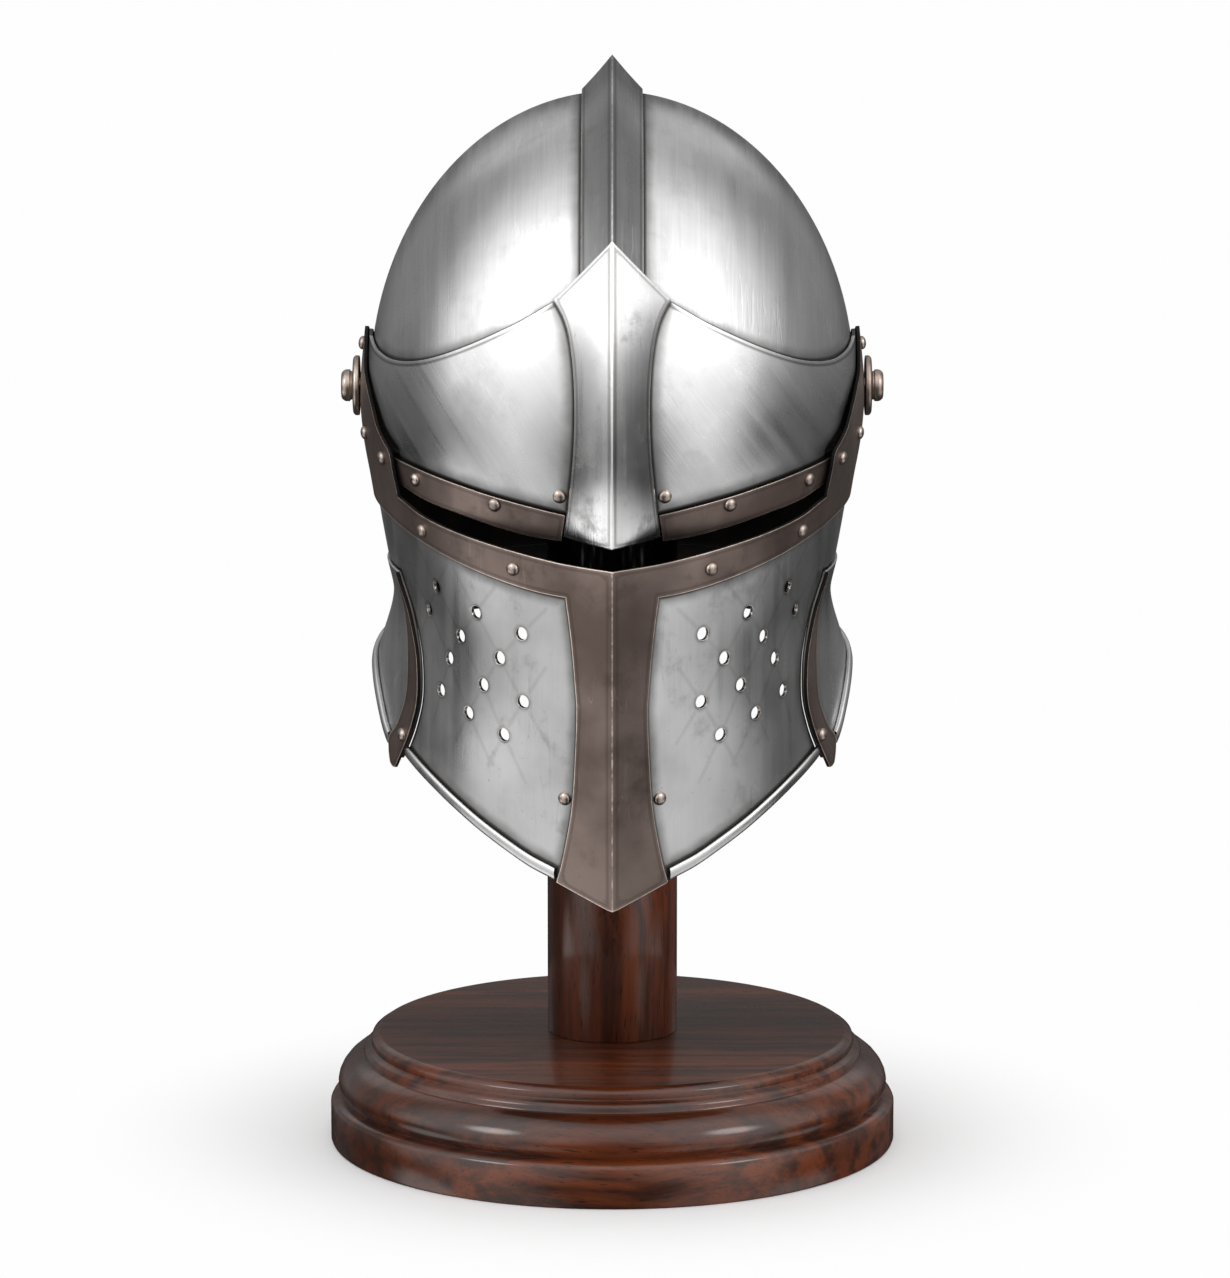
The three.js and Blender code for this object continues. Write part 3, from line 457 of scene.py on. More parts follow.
def thicken(piece, thickness, lift=0.0, edge=0.4, seams=(), covers=(), painted_ridge_highlight=False, dark_side=False):
    """Gives a sheet its thickness, with its outer face lift above where it was laid"""
    mark(piece, "edge", outline(piece))
    # A folded ridge at x = 0 counts as an edge here, so the worn-edge mask paints a highlight along it
    if painted_ridge_highlight:
        wear_and_ridge_highlight = piece.data.attributes["edge"].data
        for vertex, value in zip(piece.data.vertices, wear_and_ridge_highlight):
            value.value = min(value.value, abs(vertex.co.x) / MM + RIDGE_HIGHLIGHT_SHIFT)
    # The seam distance carries the painted shade beside a plate that lies on this one
    mark(piece, "seam", seams, covers)
    for finish in ("outside", "inside"):
        piece.data.materials.append(None)
    # Painted shade: with the dark side set, the side walls take the near-black inside finish
    apply_modifier(piece, "SOLIDIFY", thickness=thickness * MM, offset=2 * lift / thickness - 1,
                   use_even_offset=True, use_quality_normals=True, material_offset=1,
                   material_offset_rim=int(dark_side))
    apply_modifier(piece, "BEVEL", width=edge * MM, segments=2, limit_method="ANGLE",
                   angle_limit=math.radians(32))
    smooth_shade(piece)
    return piece


def mirror_copy(piece):
    """A copy with its own mesh for the other side"""
    deselect()
    piece.select_set(True)
    bpy.context.view_layer.objects.active = piece
    bpy.ops.object.duplicate()
    copy = bpy.context.object
    edit(copy)
    bpy.ops.transform.resize(value=(-1, 1, 1), center_override=(0, 0, 0))
    bpy.ops.mesh.flip_normals()
    deselect()
    return copy


finished = {}


def keep(piece, node):
    """Names a finished piece after the node that it stands for"""
    piece.name = node + "_finished"
    piece.data.name = piece.name
    for name in ("edge", "seam"):
        if name not in piece.data.attributes:
            mark(piece, name, ())
    finished[node] = piece
    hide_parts(node)
    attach(piece, frame["nodes"][node]["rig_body"])
    return piece


def keep_pair(piece, node):
    keep(mirror_copy(piece), node + "_left")
    keep(piece, node + "_right")
    print(node, len(piece.data.polygons), "faces on each side")


# %% [markdown]
# ## Face frame
# The dark frame is one forged piece: a keel band, a cross band under the eye slit, and two arms that reach up to
# the pivot. It could be cut from a single flat shape, but its arm ends are round and its keel is folded, so it
# is laid as patches that share their edge points and are then welded.

# %% Edges of the frame
# behind and before the pivot, as shares of the arm's radius
ARM_OUTLINE = [
    (-0.6, -0.8, 0.8),
    (-0.38, -1.02, 0.925),
    (-0.22, -1.35, 0.98),
    (0.1, -1.82, 1),
    (0.4, -2.13, 0.98),
    (0.6, -2.45, 0.97),
    (0.72, -2.64, 0.96),
    (1, -2.67, 0.93),
    (1.463, -2.66, 0.8),
]
# angle, top, foot
SLIT_EDGE = [
    (0, 0.2798, 0.342),
    (8, 0.2705, 0.339),
    (14.3, 0.2594, 0.331),
    (23, 0.2432, 0.3125),
    (33.5, 0.2246, 0.288),
    (42.7, 0.2075, 0.2675),
    (52.7, 0.1833, 0.249),
    (63, 0.1833, 0.233),
    (80, 0.1833, 0.222),
    (100, 0.1833, 0.219),
]
# drop, half width in degrees
KEEL_EDGE = [
    (0.25, 8),
    (0.34, 8),
    (0.386, 7.5),
    (0.446, 6.9),
    (0.52, 6.4),
    (0.574, 6.15),
    (0.677, 6.6),
    (0.785, 7.5),
    (0.853, 8.7),
    (0.918, 10.2),
    (0.952, 11.3),
    (1, 12.6),
]
# angle, drop
CHIN_EDGE = [
    (0, 1),
    (6, 0.973),
    (12.1, 0.947),
    (17.7, 0.926),
    (24, 0.896),
    (30.5, 0.865),
    (37.9, 0.829),
    (46.5, 0.791),
    (57.5, 0.751),
    (66, 0.725),
]


def slit_top(angle):
    return CHIN_DROP * smooth(SLIT_EDGE, 1, abs(angle))


def band_foot(angle):
    return CHIN_DROP * smooth(SLIT_EDGE, 2, abs(angle))


def keel_angle(drop):
    return smooth(KEEL_EDGE, 1, drop / CHIN_DROP)


def chin_line(angle):
    return CHIN_DROP * smooth(CHIN_EDGE, 1, abs(angle))


# %% Lay the frame
KEEL_TOP = 8
SLIT_DROP = ARM_OUTLINE[-1][0] * ARM_RADIUS
slit_corner = bevor_angle(ARM_OUTLINE[-1][1] * ARM_RADIUS, SLIT_DROP)
band_rows = shares(6, 14)
keel_columns = [-1, -0.96, -0.75, -0.5, -0.25, -0.05, 0, 0.05, 0.25, 0.5, 0.75, 0.96, 1]
arm_columns = shares(26, 96)


def keel_upper(c, v):
    angle = c * KEEL_TOP
    return bevor_face(angle, mix(slit_top(angle), band_foot(angle), v))


def keel_lower(c, v):
    angle = c * KEEL_TOP
    for _ in range(5):
        drop = mix(band_foot(c * KEEL_TOP), chin_line(angle), v)
        angle = c * keel_angle(drop)
    return bevor_face(angle, drop)


def cross_band(u, v):
    angle = mix(KEEL_TOP, slit_corner, u)
    return bevor_face(angle, mix(slit_top(min(angle, 52.7)) if u < 1 else SLIT_DROP, band_foot(angle), v))


def arm_point(behind, drop):
    x, y = find_phi(bevor_section(drop), lambda _, at: at >= behind)
    return Vector((x, y, PIVOT_HEIGHT - drop))


def arm_body(u, v):
    share = mix(ARM_OUTLINE[0][0], ARM_OUTLINE[-1][0], v)
    front, rear = smooth(ARM_OUTLINE, 1, share), smooth(ARM_OUTLINE, 2, share)
    return arm_point(mix(front, rear, u) * ARM_RADIUS, share * ARM_RADIUS)


def arm_cap(u, v):
    """The round end above the arm, filled between its chord and its arc"""
    side = math.atan2(-0.8, 0.6)
    top = side / 2

    def arc(turn):
        return Vector((math.sin(turn), -math.cos(turn)))

    chord = Vector((mix(-0.8, 0.8, u), -0.6))
    crown = arc(mix(top, -top, u))
    flank_front, flank_rear = arc(mix(side, top, v)), arc(mix(-side, -top, v))
    corners = (Vector((-0.8, -0.6)) * (1 - u) * (1 - v) + Vector((0.8, -0.6)) * u * (1 - v)
               + arc(top) * (1 - u) * v + arc(-top) * u * v)
    point = chord * (1 - v) + crown * v + flank_front * (1 - u) + flank_rear * u - corners
    return arm_point(point.x * ARM_RADIUS, point.y * ARM_RADIUS)


def arm_foot(u, v):
    angle = bevor_angle(mix(ARM_OUTLINE[-1][1], ARM_OUTLINE[-1][2], u) * ARM_RADIUS, SLIT_DROP)
    return bevor_face(angle, mix(SLIT_DROP, band_foot(angle), v))


band_columns = shares(34, 100)
half_frame = [
    lay_sheet(band_columns, band_rows, cross_band),
    lay_sheet(arm_columns, band_rows, arm_foot),
    lay_sheet(arm_columns, shares(26, 56), arm_body),
    lay_sheet(arm_columns, shares(5, 12), arm_cap),
]
other_half = [mirror_copy(patch) for patch in half_frame]
keel = [lay_sheet(keel_columns, band_rows, keel_upper),
        lay_sheet(keel_columns, shares(66, 140), keel_lower)]
for patch in other_half:
    turn_out(patch)
face_frame = weld(keel + half_frame + other_half)
outlines["frame"] = outline(face_frame)
thicken(face_frame, SHEET, FRAME_LIFT, edge=0.5, painted_ridge_highlight=True, dark_side=True)
keep(face_frame, "face_frame")
print("face frame:", len(face_frame.data.polygons), "faces")

# %% [markdown]
# ## Neck guard, its border and its rim
# The neck guard is one flared sheet from ear to ear round the nape. Its lower edge is turned over a wire, which
# shows as a roll, and its front edge is covered by a dark strip with a pointed tab.

# %% Border strips
# drop, angle
GUARD_EDGE = [
    (0.2, 63.5),
    (0.355, 62.4),
    (0.4, 60.4),
    (0.45, 56.5),
    (0.5, 52.9),
    (0.53, 51.4),
    (0.573, 50.6),
    (0.616, 50.9),
    (0.654, 52.5),
    (0.702, 55.6),
    (0.768, 61.6),
    (0.8, 65),
]
# drop, width in degrees
BORDER_WIDTH = [
    (0.36, 0.6),
    (0.44, 3.2),
    (0.53, 5.6),
    (0.62, 6.4),
    (0.69, 8),
    (0.715, 9.6),
    (0.74, 7.4),
    (0.762, 4.6),
    (0.772, 3.0),
    (0.777, 1.2),
]


def edge_angle(drop):
    return smooth(GUARD_EDGE, 1, drop / CHIN_DROP)


def border_face(u, v):
    drop = mix(BORDER_WIDTH[0][0], BORDER_WIDTH[-1][0], v) * CHIN_DROP
    return guard_face(edge_angle(drop) + u * smooth(BORDER_WIDTH, 1, drop / CHIN_DROP), drop)


border = lay_sheet(shares(8, 14), shares(60, 92), border_face)
outlines["border"] = outline(border)
thicken(border, SHEET, FRAME_LIFT, edge=0.4, dark_side=True)
keep_pair(border, "guard_border")


# %% Guard sheet
def guard_sheet(u, v):
    t = 1 - abs(u)
    angle = 60
    for _ in range(6):
        drop = mix(WAIST_DROP, hem_drop(angle) - 1, v)
        angle = mix(edge_angle(drop) + 0.3, 180, t)
    return guard_face(math.copysign(angle, u) if u else 180, drop)


guard_columns = sorted({-1 + s for s in shares(70, 220)} | {1 - s for s in shares(70, 220)})
neck_guard = lay_sheet(guard_columns, shares(26, 50), guard_sheet)
thicken(neck_guard, SHEET, 0, edge=0.4, seams=outlines["border"] + mirrored(outlines["border"]),
        covers=[cover(border)])
keep(neck_guard, "neck_guard")


# %% A roll laid along a line of face points
def roll(face, line, width, proud, seat=-0.15):
    count = 18
    rings = []
    for a, b in line:
        low, normal = off_face(face, a, b - width / 2, 0)
        high, _ = off_face(face, a, b + width / 2, 0)
        middle, normal = off_face(face, a, b, 0)
        rings.append(((low - high) / 2, middle, normal))

    def place(u, v):
        along, middle, normal = rings[round(v * (len(rings) - 1))]
        turn = 2 * math.pi * u
        flat = math.copysign(abs(math.sin(turn)) ** 0.7, math.sin(turn))
        height = mix(seat, proud, 0.5 + 0.5 * flat)
        return middle + along * math.cos(turn) + normal * height

    tube = lay_sheet([i / count for i in range(count + 1)], [i / (len(rings) - 1) for i in range(len(rings))], place)
    weld([tube], gap=0.02)
    edit(tube)
    bpy.ops.mesh.fill_holes(sides=0)
    bpy.ops.mesh.select_all(action="SELECT")
    bpy.ops.mesh.normals_make_consistent(inside=False)
    deselect()
    tube.data.materials.append(None)
    smooth_shade(tube, 50)
    return tube


RIM_WIDTH = 5.6
RIM_PROUD = 2.6
guard_line = [(mix(66.6, 179.85, i / 112), hem_drop(mix(66.6, 179.85, i / 112)) - RIM_WIDTH / 2 - 0.4)
              for i in range(113)]
keep_pair(roll(guard_face, guard_line, RIM_WIDTH, RIM_PROUD), "neck_rim")
chin_points = [mix(11.7, 58.2, i / 92) for i in range(93)]
chin_roll = [(angle, chin_line(angle) - RIM_WIDTH / 2 - 0.2) for angle in chin_points]
outlines["chin"] = [bevor_face(a, b - RIM_WIDTH / 2) * MM for a, b in chin_roll]
chin_rim = roll(bevor_face, chin_roll, RIM_WIDTH, 2.1)
keep_pair(chin_rim, "chin_rim")

# %% [markdown]
# ## Cheek plates with breath holes
# Each cheek is a sheet under the frame, with round holes to breathe through. The holes could be cut with a
# boolean, but that leaves slivers that show on polished steel. Here the faces inside each circle are taken out
# and the points round it are drawn onto the circle, so the edge can be broken evenly all round.

# %% Lay the cheeks
CHEEK_REAR = [(0.2, 0.78), (0.28, 0.35), (0.348, -0.2)]
LOBE_DROP = WAIST_DROP - 1.4
FRAME_LAP = 4
HOLE_RADIUS = 3
BREATH_HOLES = [
    (41.7, 0.361), (47, 0.418), (28.9, 0.396), (34.3, 0.455), (17.6, 0.427), (38.6, 0.508),
    (23, 0.485), (27.6, 0.548), (42, 0.581), (17.7, 0.571), (32.4, 0.615), (22.8, 0.648),
]


def cheek_point(t, v, top, foot):
    angle, drop = 30, 60
    for _ in range(6):
        drop = mix(top(angle), foot(angle), v)
        angle = mix(keel_angle(drop) - 2, edge_angle(drop) - 0.2, t)
    return angle, drop


def cheek_top(angle):
    return band_foot(angle) - FRAME_LAP


def cheek_upper(u, v):
    return bevor_face(*cheek_point(u, v, cheek_top, lambda _: LOBE_DROP))


def cheek_lower(u, v):
    return bevor_face(*cheek_point(u, v, lambda _: LOBE_DROP, chin_line))


def cheek_back(u, v):
    angle, drop = cheek_point(1, v, cheek_top, lambda _: LOBE_DROP)
    rear = bevor_angle(ARM_RADIUS * smooth(CHEEK_REAR, 1, drop / CHIN_DROP), drop)
    return bevor_face(mix(angle, rear, u), drop)


cheek_columns = shares(88, 104)
upper_rows = shares(16, 20)
cheek = weld([
    lay_sheet(cheek_columns, upper_rows, cheek_upper),
    lay_sheet(cheek_columns, shares(96, 112), cheek_lower),
    lay_sheet(shares(30, 46), upper_rows, cheek_back),
])
print("cheek sheet:", len(cheek.data.vertices), "points")

# %% Open the holes
holes = [bevor_face(angle, drop * CHIN_DROP) * MM for angle, drop in BREATH_HOLES]
drop_faces(cheek, lambda middle: any((middle - hole).length < HOLE_RADIUS * 0.93 * MM for hole in holes))
rim_points = set()
face_count = {}
for face in cheek.data.polygons:
    for key in face.edge_keys:
        face_count[key] = face_count.get(key, 0) + 1
for key, count in face_count.items():
    if count == 1:
        rim_points.update(key)
for index in rim_points:
    point = cheek.data.vertices[index].co
    for hole in holes:
        if (point - hole).length < 2 * HOLE_RADIUS * MM:
            cheek.data.vertices[index].co = hole + (point - hole).normalized() * HOLE_RADIUS * MM

# %% [markdown]
# Faint lines were scribed across the plate to set out the holes. They run slantwise through the rows of holes, so
# each is a chain of holes, and every point of the plate keeps its distance to the nearest line.

# %% Scribed lines through the holes
CHAINS = [(4, 6, 7, 10), (2, 3, 5, 8), (0, 1), (9, 11), (2, 6, 9), (0, 3, 7, 11), (1, 5, 10)]
scribed = []
for chain in CHAINS:
    stops = [BREATH_HOLES[index] for index in chain]
    first = [2 * a - b for a, b in zip(stops[0], stops[1])]
    last = [2 * a - b for a, b in zip(stops[-1], stops[-2])]
    stops = [first, *stops, last]
    for begin, finish in zip(stops, stops[1:]):
        for i in range(30):
            a, b = (mix(p, q, i / 30) for p, q in zip(begin, finish))
            scribed.append(bevor_face(a, b * CHIN_DROP) * MM)
mark(cheek, "scribed", scribed)
mark(cheek, "hole", holes)
thicken(cheek, SHEET, 0, edge=0.3, seams=outlines["frame"] + outlines["border"] + outlines["chin"],
        covers=[cover(face_frame), cover(border), cover(chin_rim)])
keep_pair(cheek, "cheek_plate")

# %% [markdown]
# ## Visor: brow bands, nasal plate and brow plates
# The visor's plates swing over the skull. The nasal plate rides over the comb as a ridge, and the brow plates
# run back under the arms to the pivot. A dark band strengthens each plate along the slit.

# %% Brow bands
# along, top, band, foot
VISOR_EDGES = [
    (0, 11, -6, -11),
    (0.1, 10.3, -7, -11.6),
    (0.2, 9.4, -8.2, -12.6),
    (0.35, 9.2, -9.6, -13.8),
    (0.5, 11.3, -11.3, -17),
    (0.65, 16.2, -13.7, -19.8),
    (0.8, 23.6, -17, -23.6),
    (0.9, 30.2, -19.6, -26.4),
    (1, 37.2, -22.6, -28.9),
]
wing_arc = math.degrees(math.asin(WING_RADIUS / VISOR_REACH))
nose_arc = math.degrees(math.acos((COMB_HALF_WIDTH + 0.8) / VISOR_HALF_WIDTH))
band_arc = math.degrees(math.acos((NASAL_HALF_WIDTH + 5.6) / VISOR_HALF_WIDTH))


def arc_from(radius, offset):
    return math.sqrt(max(0, radius * radius - offset * offset))


def brow_band_face(u, v):
    along = mix(0.37, 1, u)
    b = mix(smooth(VISOR_EDGES, 2, along), smooth(VISOR_EDGES, 3, along) - 0.7, v)
    return brow_face(along * arc_from(mix(band_arc + 0.9, band_arc, v), b), b)


brow_band = lay_sheet(shares(70, 120), shares(8, 14), brow_band_face)
outlines["band"] = outline(brow_band)
thicken(brow_band, BAND_SHEET, SEAT_GAP + BAND_SHEET, edge=0.4, dark_side=True)
keep_pair(brow_band, "brow_band")

# %% Nasal plate
NASAL_APEX = 32.3
nasal_foot, nasal_top = NASAL_WIDTHS[0][0], NASAL_WIDTHS[-1][0]
nasal_corner = NASAL_WIDTHS[-1][1] * NASAL_HALF_WIDTH


def nasal_sheet(u, v):
    x = abs(u) * NASAL_HALF_WIDTH * smooth(NASAL_WIDTHS, 1, mix(nasal_foot, nasal_top, v))
    top = mix(NASAL_APEX, nasal_top, x / nasal_corner)
    foot = mix(nasal_foot + 1.9, nasal_foot, x / nasal_corner)
    return nasal_face(math.copysign(x, u), mix(foot, top, v))


half_columns = shares(20, 20)
nasal_columns = sorted({-s for s in half_columns} | set(half_columns))
nasal = lay_sheet(nasal_columns, shares(70, 120), nasal_sheet)
outlines["nasal"] = outline(nasal)
thicken(nasal, SHEET, 0, edge=0.45, painted_ridge_highlight=True)
keep(nasal, "nasal_plate")


# %% Brow plates
def brow_body(u, v):
    b = mix(smooth(VISOR_EDGES, 1, u), smooth(VISOR_EDGES, 3, u), v)
    return brow_face(u * arc_from(nose_arc, b), b)


def brow_wing(u, v):
    a = mix(-0.995, 0, u) * wing_arc
    return brow_face(a, mix(1, -1, v) * arc_from(wing_arc, a))


brow_rows = shares(64, 110)
brow_plate = weld([
    lay_sheet(shares(110, 200), brow_rows, brow_body),
    lay_sheet(shares(14, 26), brow_rows, brow_wing),
], gap=0.2)
outlines["brow"] = outline(brow_plate)
thicken(brow_plate, SHEET, 0, edge=0.45,
        seams=outlines["band"] + outlines["nasal"] + outlines["frame"],
        covers=[cover(brow_band), cover(nasal), cover(face_frame)])
keep_pair(brow_plate, "brow_plate")

# %% [markdown]
# ## Skull and comb
# The skull is raised from one sheet, so a sphere is the natural start: its rings become the skull's level
# sections, and the faces of the face opening and the neck are taken out. The comb is a folded strip over it.

# %% Skull
RING = 2
LOWER_RINGS = 44
BROW_RINGS = BROW_DROP // RING


def ring_drop(ring):
    if ring <= BROW_RINGS:
        return ring * RING
    return mix(BROW_DROP, NAPE_DROP, (ring - BROW_RINGS) / (LOWER_RINGS - BROW_RINGS))


def skull_point(co):
    up = math.degrees(math.asin(max(-1, min(1, co.z))))
    angle = math.degrees(math.atan2(co.x, -co.y))
    if up > -0.01:
        return skull_face(angle, -max(up, 0))
    drop = ring_drop(round(-up / RING))
    if drop > BROW_DROP and abs(angle) > OPENING_TOP - 0.01:
        edge = mix(OPENING_TOP, OPENING_FOOT, (drop - BROW_DROP) / (NAPE_DROP - BROW_DROP))
        angle = math.copysign(mix(edge, 180, (abs(angle) - OPENING_TOP) / (180 - OPENING_TOP)), angle)
    return skull_face(angle, drop)


def in_opening(middle):
    up = math.degrees(math.asin(max(-1, min(1, middle.normalized().z))))
    angle = abs(math.degrees(math.atan2(middle.x, -middle.y)))
    return up < -88 or (up < -BROW_DROP and angle < OPENING_TOP)


deselect()
bpy.ops.mesh.primitive_uv_sphere_add(segments=180, ring_count=90, radius=1)
skull = bpy.context.object
drop_faces(skull, in_opening)
for vertex in skull.data.vertices:
    vertex.co = skull_point(vertex.co.copy()) * MM
turn_out(skull)


# %% Comb
def skull_in(x, angle):
    reach = SKULL_BACK if abs(angle) > 90 else SKULL_FRONT
    c = math.cos(math.radians(angle)) / reach
    s = math.sin(math.radians(angle)) / SKULL_FRONT
    return math.sqrt(1 - (x / SKULL_HALF_WIDTH) ** 2) / math.hypot(c, s)


COMB_SEAT = SEAT_GAP + 0.15
TAIL_HEIGHT = 6
TAIL_DROP = 52
COMB_START, COMB_END = 14, 180


def comb_face(u, v):
    x = u * COMB_HALF_WIDTH
    hollow = 0.35 * math.sin(math.pi * abs(u))
    if v <= COMB_END:
        foot = skull_in(COMB_HALF_WIDTH, v) + COMB_SEAT + COMB_SHEET
        back = ease((v - 95) / (COMB_END - 95))
        crest = mix(COMB_CREST, skull_in(0, v) + TAIL_HEIGHT, back)
        return turned(x, mix(crest, foot, abs(u)) - hollow, v)
    drop = v - COMB_END
    side = 180 - math.degrees(math.asin(COMB_HALF_WIDTH / SKULL_BACK))
    foot = skull_face(side, drop).y + COMB_SEAT + COMB_SHEET
    crest = skull_face(180, drop).y + mix(TAIL_HEIGHT, COMB_SHEET + 1, (drop / TAIL_DROP) ** 2)
    return Vector((x, mix(crest, foot, abs(u)) - hollow, PIVOT_HEIGHT - drop))


comb_columns = sorted({-s for s in shares(8, 15)} | set(shares(8, 15)))
comb_rows = [COMB_START, COMB_START + 0.4, *range(COMB_START + 2, COMB_END, 2), COMB_END,
             *(COMB_END + 2 * k for k in range(1, 26)), COMB_END + TAIL_DROP - 0.7, COMB_END + TAIL_DROP]
comb = lay_sheet(comb_columns, comb_rows, comb_face)
outlines["comb"] = outline(comb)
thicken(comb, COMB_SHEET, 0, edge=0.5, seams=outlines["nasal"], covers=[cover(nasal)], painted_ridge_highlight=True)
keep(comb, "comb")
thicken(skull, SHEET, 0, edge=0.4,
        seams=outlines["comb"] + outlines["brow"] + mirrored(outlines["brow"]),
        covers=[cover(comb), cover(brow_plate)])
keep(skull, "skull")
print("skull:", len(skull.data.polygons), "faces; comb:", len(comb.data.polygons))

# %% [markdown]
# ## Turned pieces
# Rivets, bolts, washers and the wooden stand are all turned: one outline spun round an axis. The outline grows
# point by point from the middle by extruding, then spin carries it round, as a lathe does.

# %% Spin an outline into a body
def turned_body(profile, steps):
    """profile is a list of (radius, height) from the middle of the top to the middle of the bottom"""
    deselect()
    bpy.ops.mesh.primitive_plane_add(size=1)
    body = bpy.context.object
    edit(body)
    bpy.ops.mesh.merge(type="CENTER")
    bpy.ops.transform.translate(value=(profile[0][0] * MM, 0, profile[0][1] * MM))
    for (r0, z0), (r1, z1) in zip(profile, profile[1:]):
        bpy.ops.mesh.extrude_region_move(
            TRANSFORM_OT_translate={"value": ((r1 - r0) * MM, 0, (z1 - z0) * MM)})
    bpy.ops.mesh.select_all(action="SELECT")
    bpy.ops.mesh.spin(steps=steps, angle=2 * math.pi, center=(0, 0, 0), axis=(0, 0, 1))
    bpy.ops.mesh.select_all(action="SELECT")
    bpy.ops.mesh.remove_doubles(threshold=0.01 * MM)
    bpy.ops.mesh.normals_make_consistent(inside=False)
    deselect()
    body.data.materials.append(None)
    smooth_shade(body, 40)
    return body


def rounded(points, radius=0.5, parts=4):
    """Rounds the corners of an outline"""
    made = [points[0]]
    for before, at, after in zip(points, points[1:], points[2:]):
        p, q, r = Vector(before), Vector(at), Vector(after)
        cut = min(radius, (p - q).length * 0.45, (r - q).length * 0.45)
        start, end = q + (p - q).normalized() * cut, q + (r - q).normalized() * cut
        for i in range(parts + 1):
            t = i / parts
            made.append(tuple(start.lerp(q, t).lerp(q.lerp(end, t), t)))
    return made + [points[-1]]


# %% Rivets
RIVET_RADIUS = 3.1
RIVET_HEIGHT = 2
dome = [(RIVET_RADIUS * math.sin(t * math.pi / 18), RIVET_HEIGHT * math.cos(t * math.pi / 18) ** 0.9)
        for t in range(9)]
rivet = turned_body([*dome, (RIVET_RADIUS, 0.25), (RIVET_RADIUS * 0.97, -SEAT_GAP - 0.1), (0, -SEAT_GAP - 0.1)], 28)


def set_upright(master, seat, normal):
    """Copies a body with its own mesh and stands it on a point"""
    copy = bpy.data.objects.new(master.name, master.data.copy())
    bpy.context.collection.objects.link(copy)
    turn = normal.to_track_quat("Z", "Y").to_matrix()
    for vertex in copy.data.vertices:
        vertex.co = turn @ vertex.co + seat * MM
    return copy


def rivet_pair(name, face, a, b, lift):
    seat, normal = off_face(face, a, b, lift + SEAT_GAP)
    keep(set_upright(rivet, seat, normal), name + "_right")
    flip = Vector((-1, 1, 1))
    keep(set_upright(rivet, seat * flip, normal * flip), name + "_left")


for name, behind, drop in (("arm_rivet_top", 0, -0.72), ("arm_rivet_middle", -1.17, 0.62),
                           ("arm_rivet_foot", -2.3, 0.867)):
    rivet_pair(name, bevor_face, bevor_angle(behind * ARM_RADIUS, drop * ARM_RADIUS), drop * ARM_RADIUS,
               FRAME_LIFT)
rivet_pair("band_rivet_outer", bevor_face, 42.9, 0.2405 * CHIN_DROP, FRAME_LIFT)
rivet_pair("band_rivet_inner", bevor_face, 18.4, 0.2885 * CHIN_DROP, FRAME_LIFT)
rivet_pair("cheek_rivet", bevor_face, 9.3, 0.769 * CHIN_DROP, 0)
rivet_pair("brow_rivet_outer", brow_face, 37.7, -13.6, SEAT_GAP + BAND_SHEET)
rivet_pair("brow_rivet_inner", brow_face, 60.3, -18.4, SEAT_GAP + BAND_SHEET)
rivet_pair("nose_rivet", brow_face, 76.2, -17.6, 0)
rivet_pair("tab_rivet", guard_face, 58, 0.7 * CHIN_DROP, FRAME_LIFT)
deselect()
rivet.select_set(True)
bpy.ops.object.delete()
print("rivets:", sum("rivet" in node for node in finished))

# %% Washers and bolts at the pivot
DISC_INNER = BEVOR_HALF_WIDTH + FRAME_LIFT + SEAT_GAP
DISC_THICKNESS = 3
DISC_RADIUS = 13.7
HEAD_INNER = DISC_INNER + DISC_THICKNESS + SEAT_GAP
HEAD_RADIUS = 7.3
HEAD_HEIGHT = 5.2
BOLT_RADIUS = 3.4
shank = HEAD_INNER - (SKULL_HALF_WIDTH - SHEET - 3)
disc_outline = rounded([(BOLT_RADIUS, DISC_THICKNESS), (DISC_RADIUS - 1.2, DISC_THICKNESS), (DISC_RADIUS, 2),
                        (DISC_RADIUS, 0), (BOLT_RADIUS, 0), (BOLT_RADIUS, DISC_THICKNESS)], 0.6)
head_outline = rounded([(0, HEAD_HEIGHT), (HEAD_RADIUS * 0.8, HEAD_HEIGHT - 0.1), (HEAD_RADIUS, HEAD_HEIGHT - 1.8),
                        (HEAD_RADIUS, 1.1), (HEAD_RADIUS * 0.9, 0.9), (HEAD_RADIUS * 0.9, 0),
                        (BOLT_RADIUS, 0), (BOLT_RADIUS, -shank), (0, -shank)], 0.9)
for node, profile, out in (("pivot_disc", disc_outline, DISC_INNER), ("pivot_bolt", head_outline, HEAD_INNER)):
    master = turned_body(profile, 64)
    for side, sign in (("left", -1), ("right", 1)):
        keep(set_upright(master, Vector((sign * out, 0, PIVOT_HEIGHT)), Vector((sign, 0, 0))), f"{node}_{side}")
    deselect()
    master.select_set(True)
    bpy.ops.object.delete()

# %% [markdown]
# ## Wooden stand
# The foot is turned from one block: a tall straight step, a full round moulding and a smaller step. The post
# stands in it and carries the skull at the crown. Both are varnished, so their outlines need clean curves.

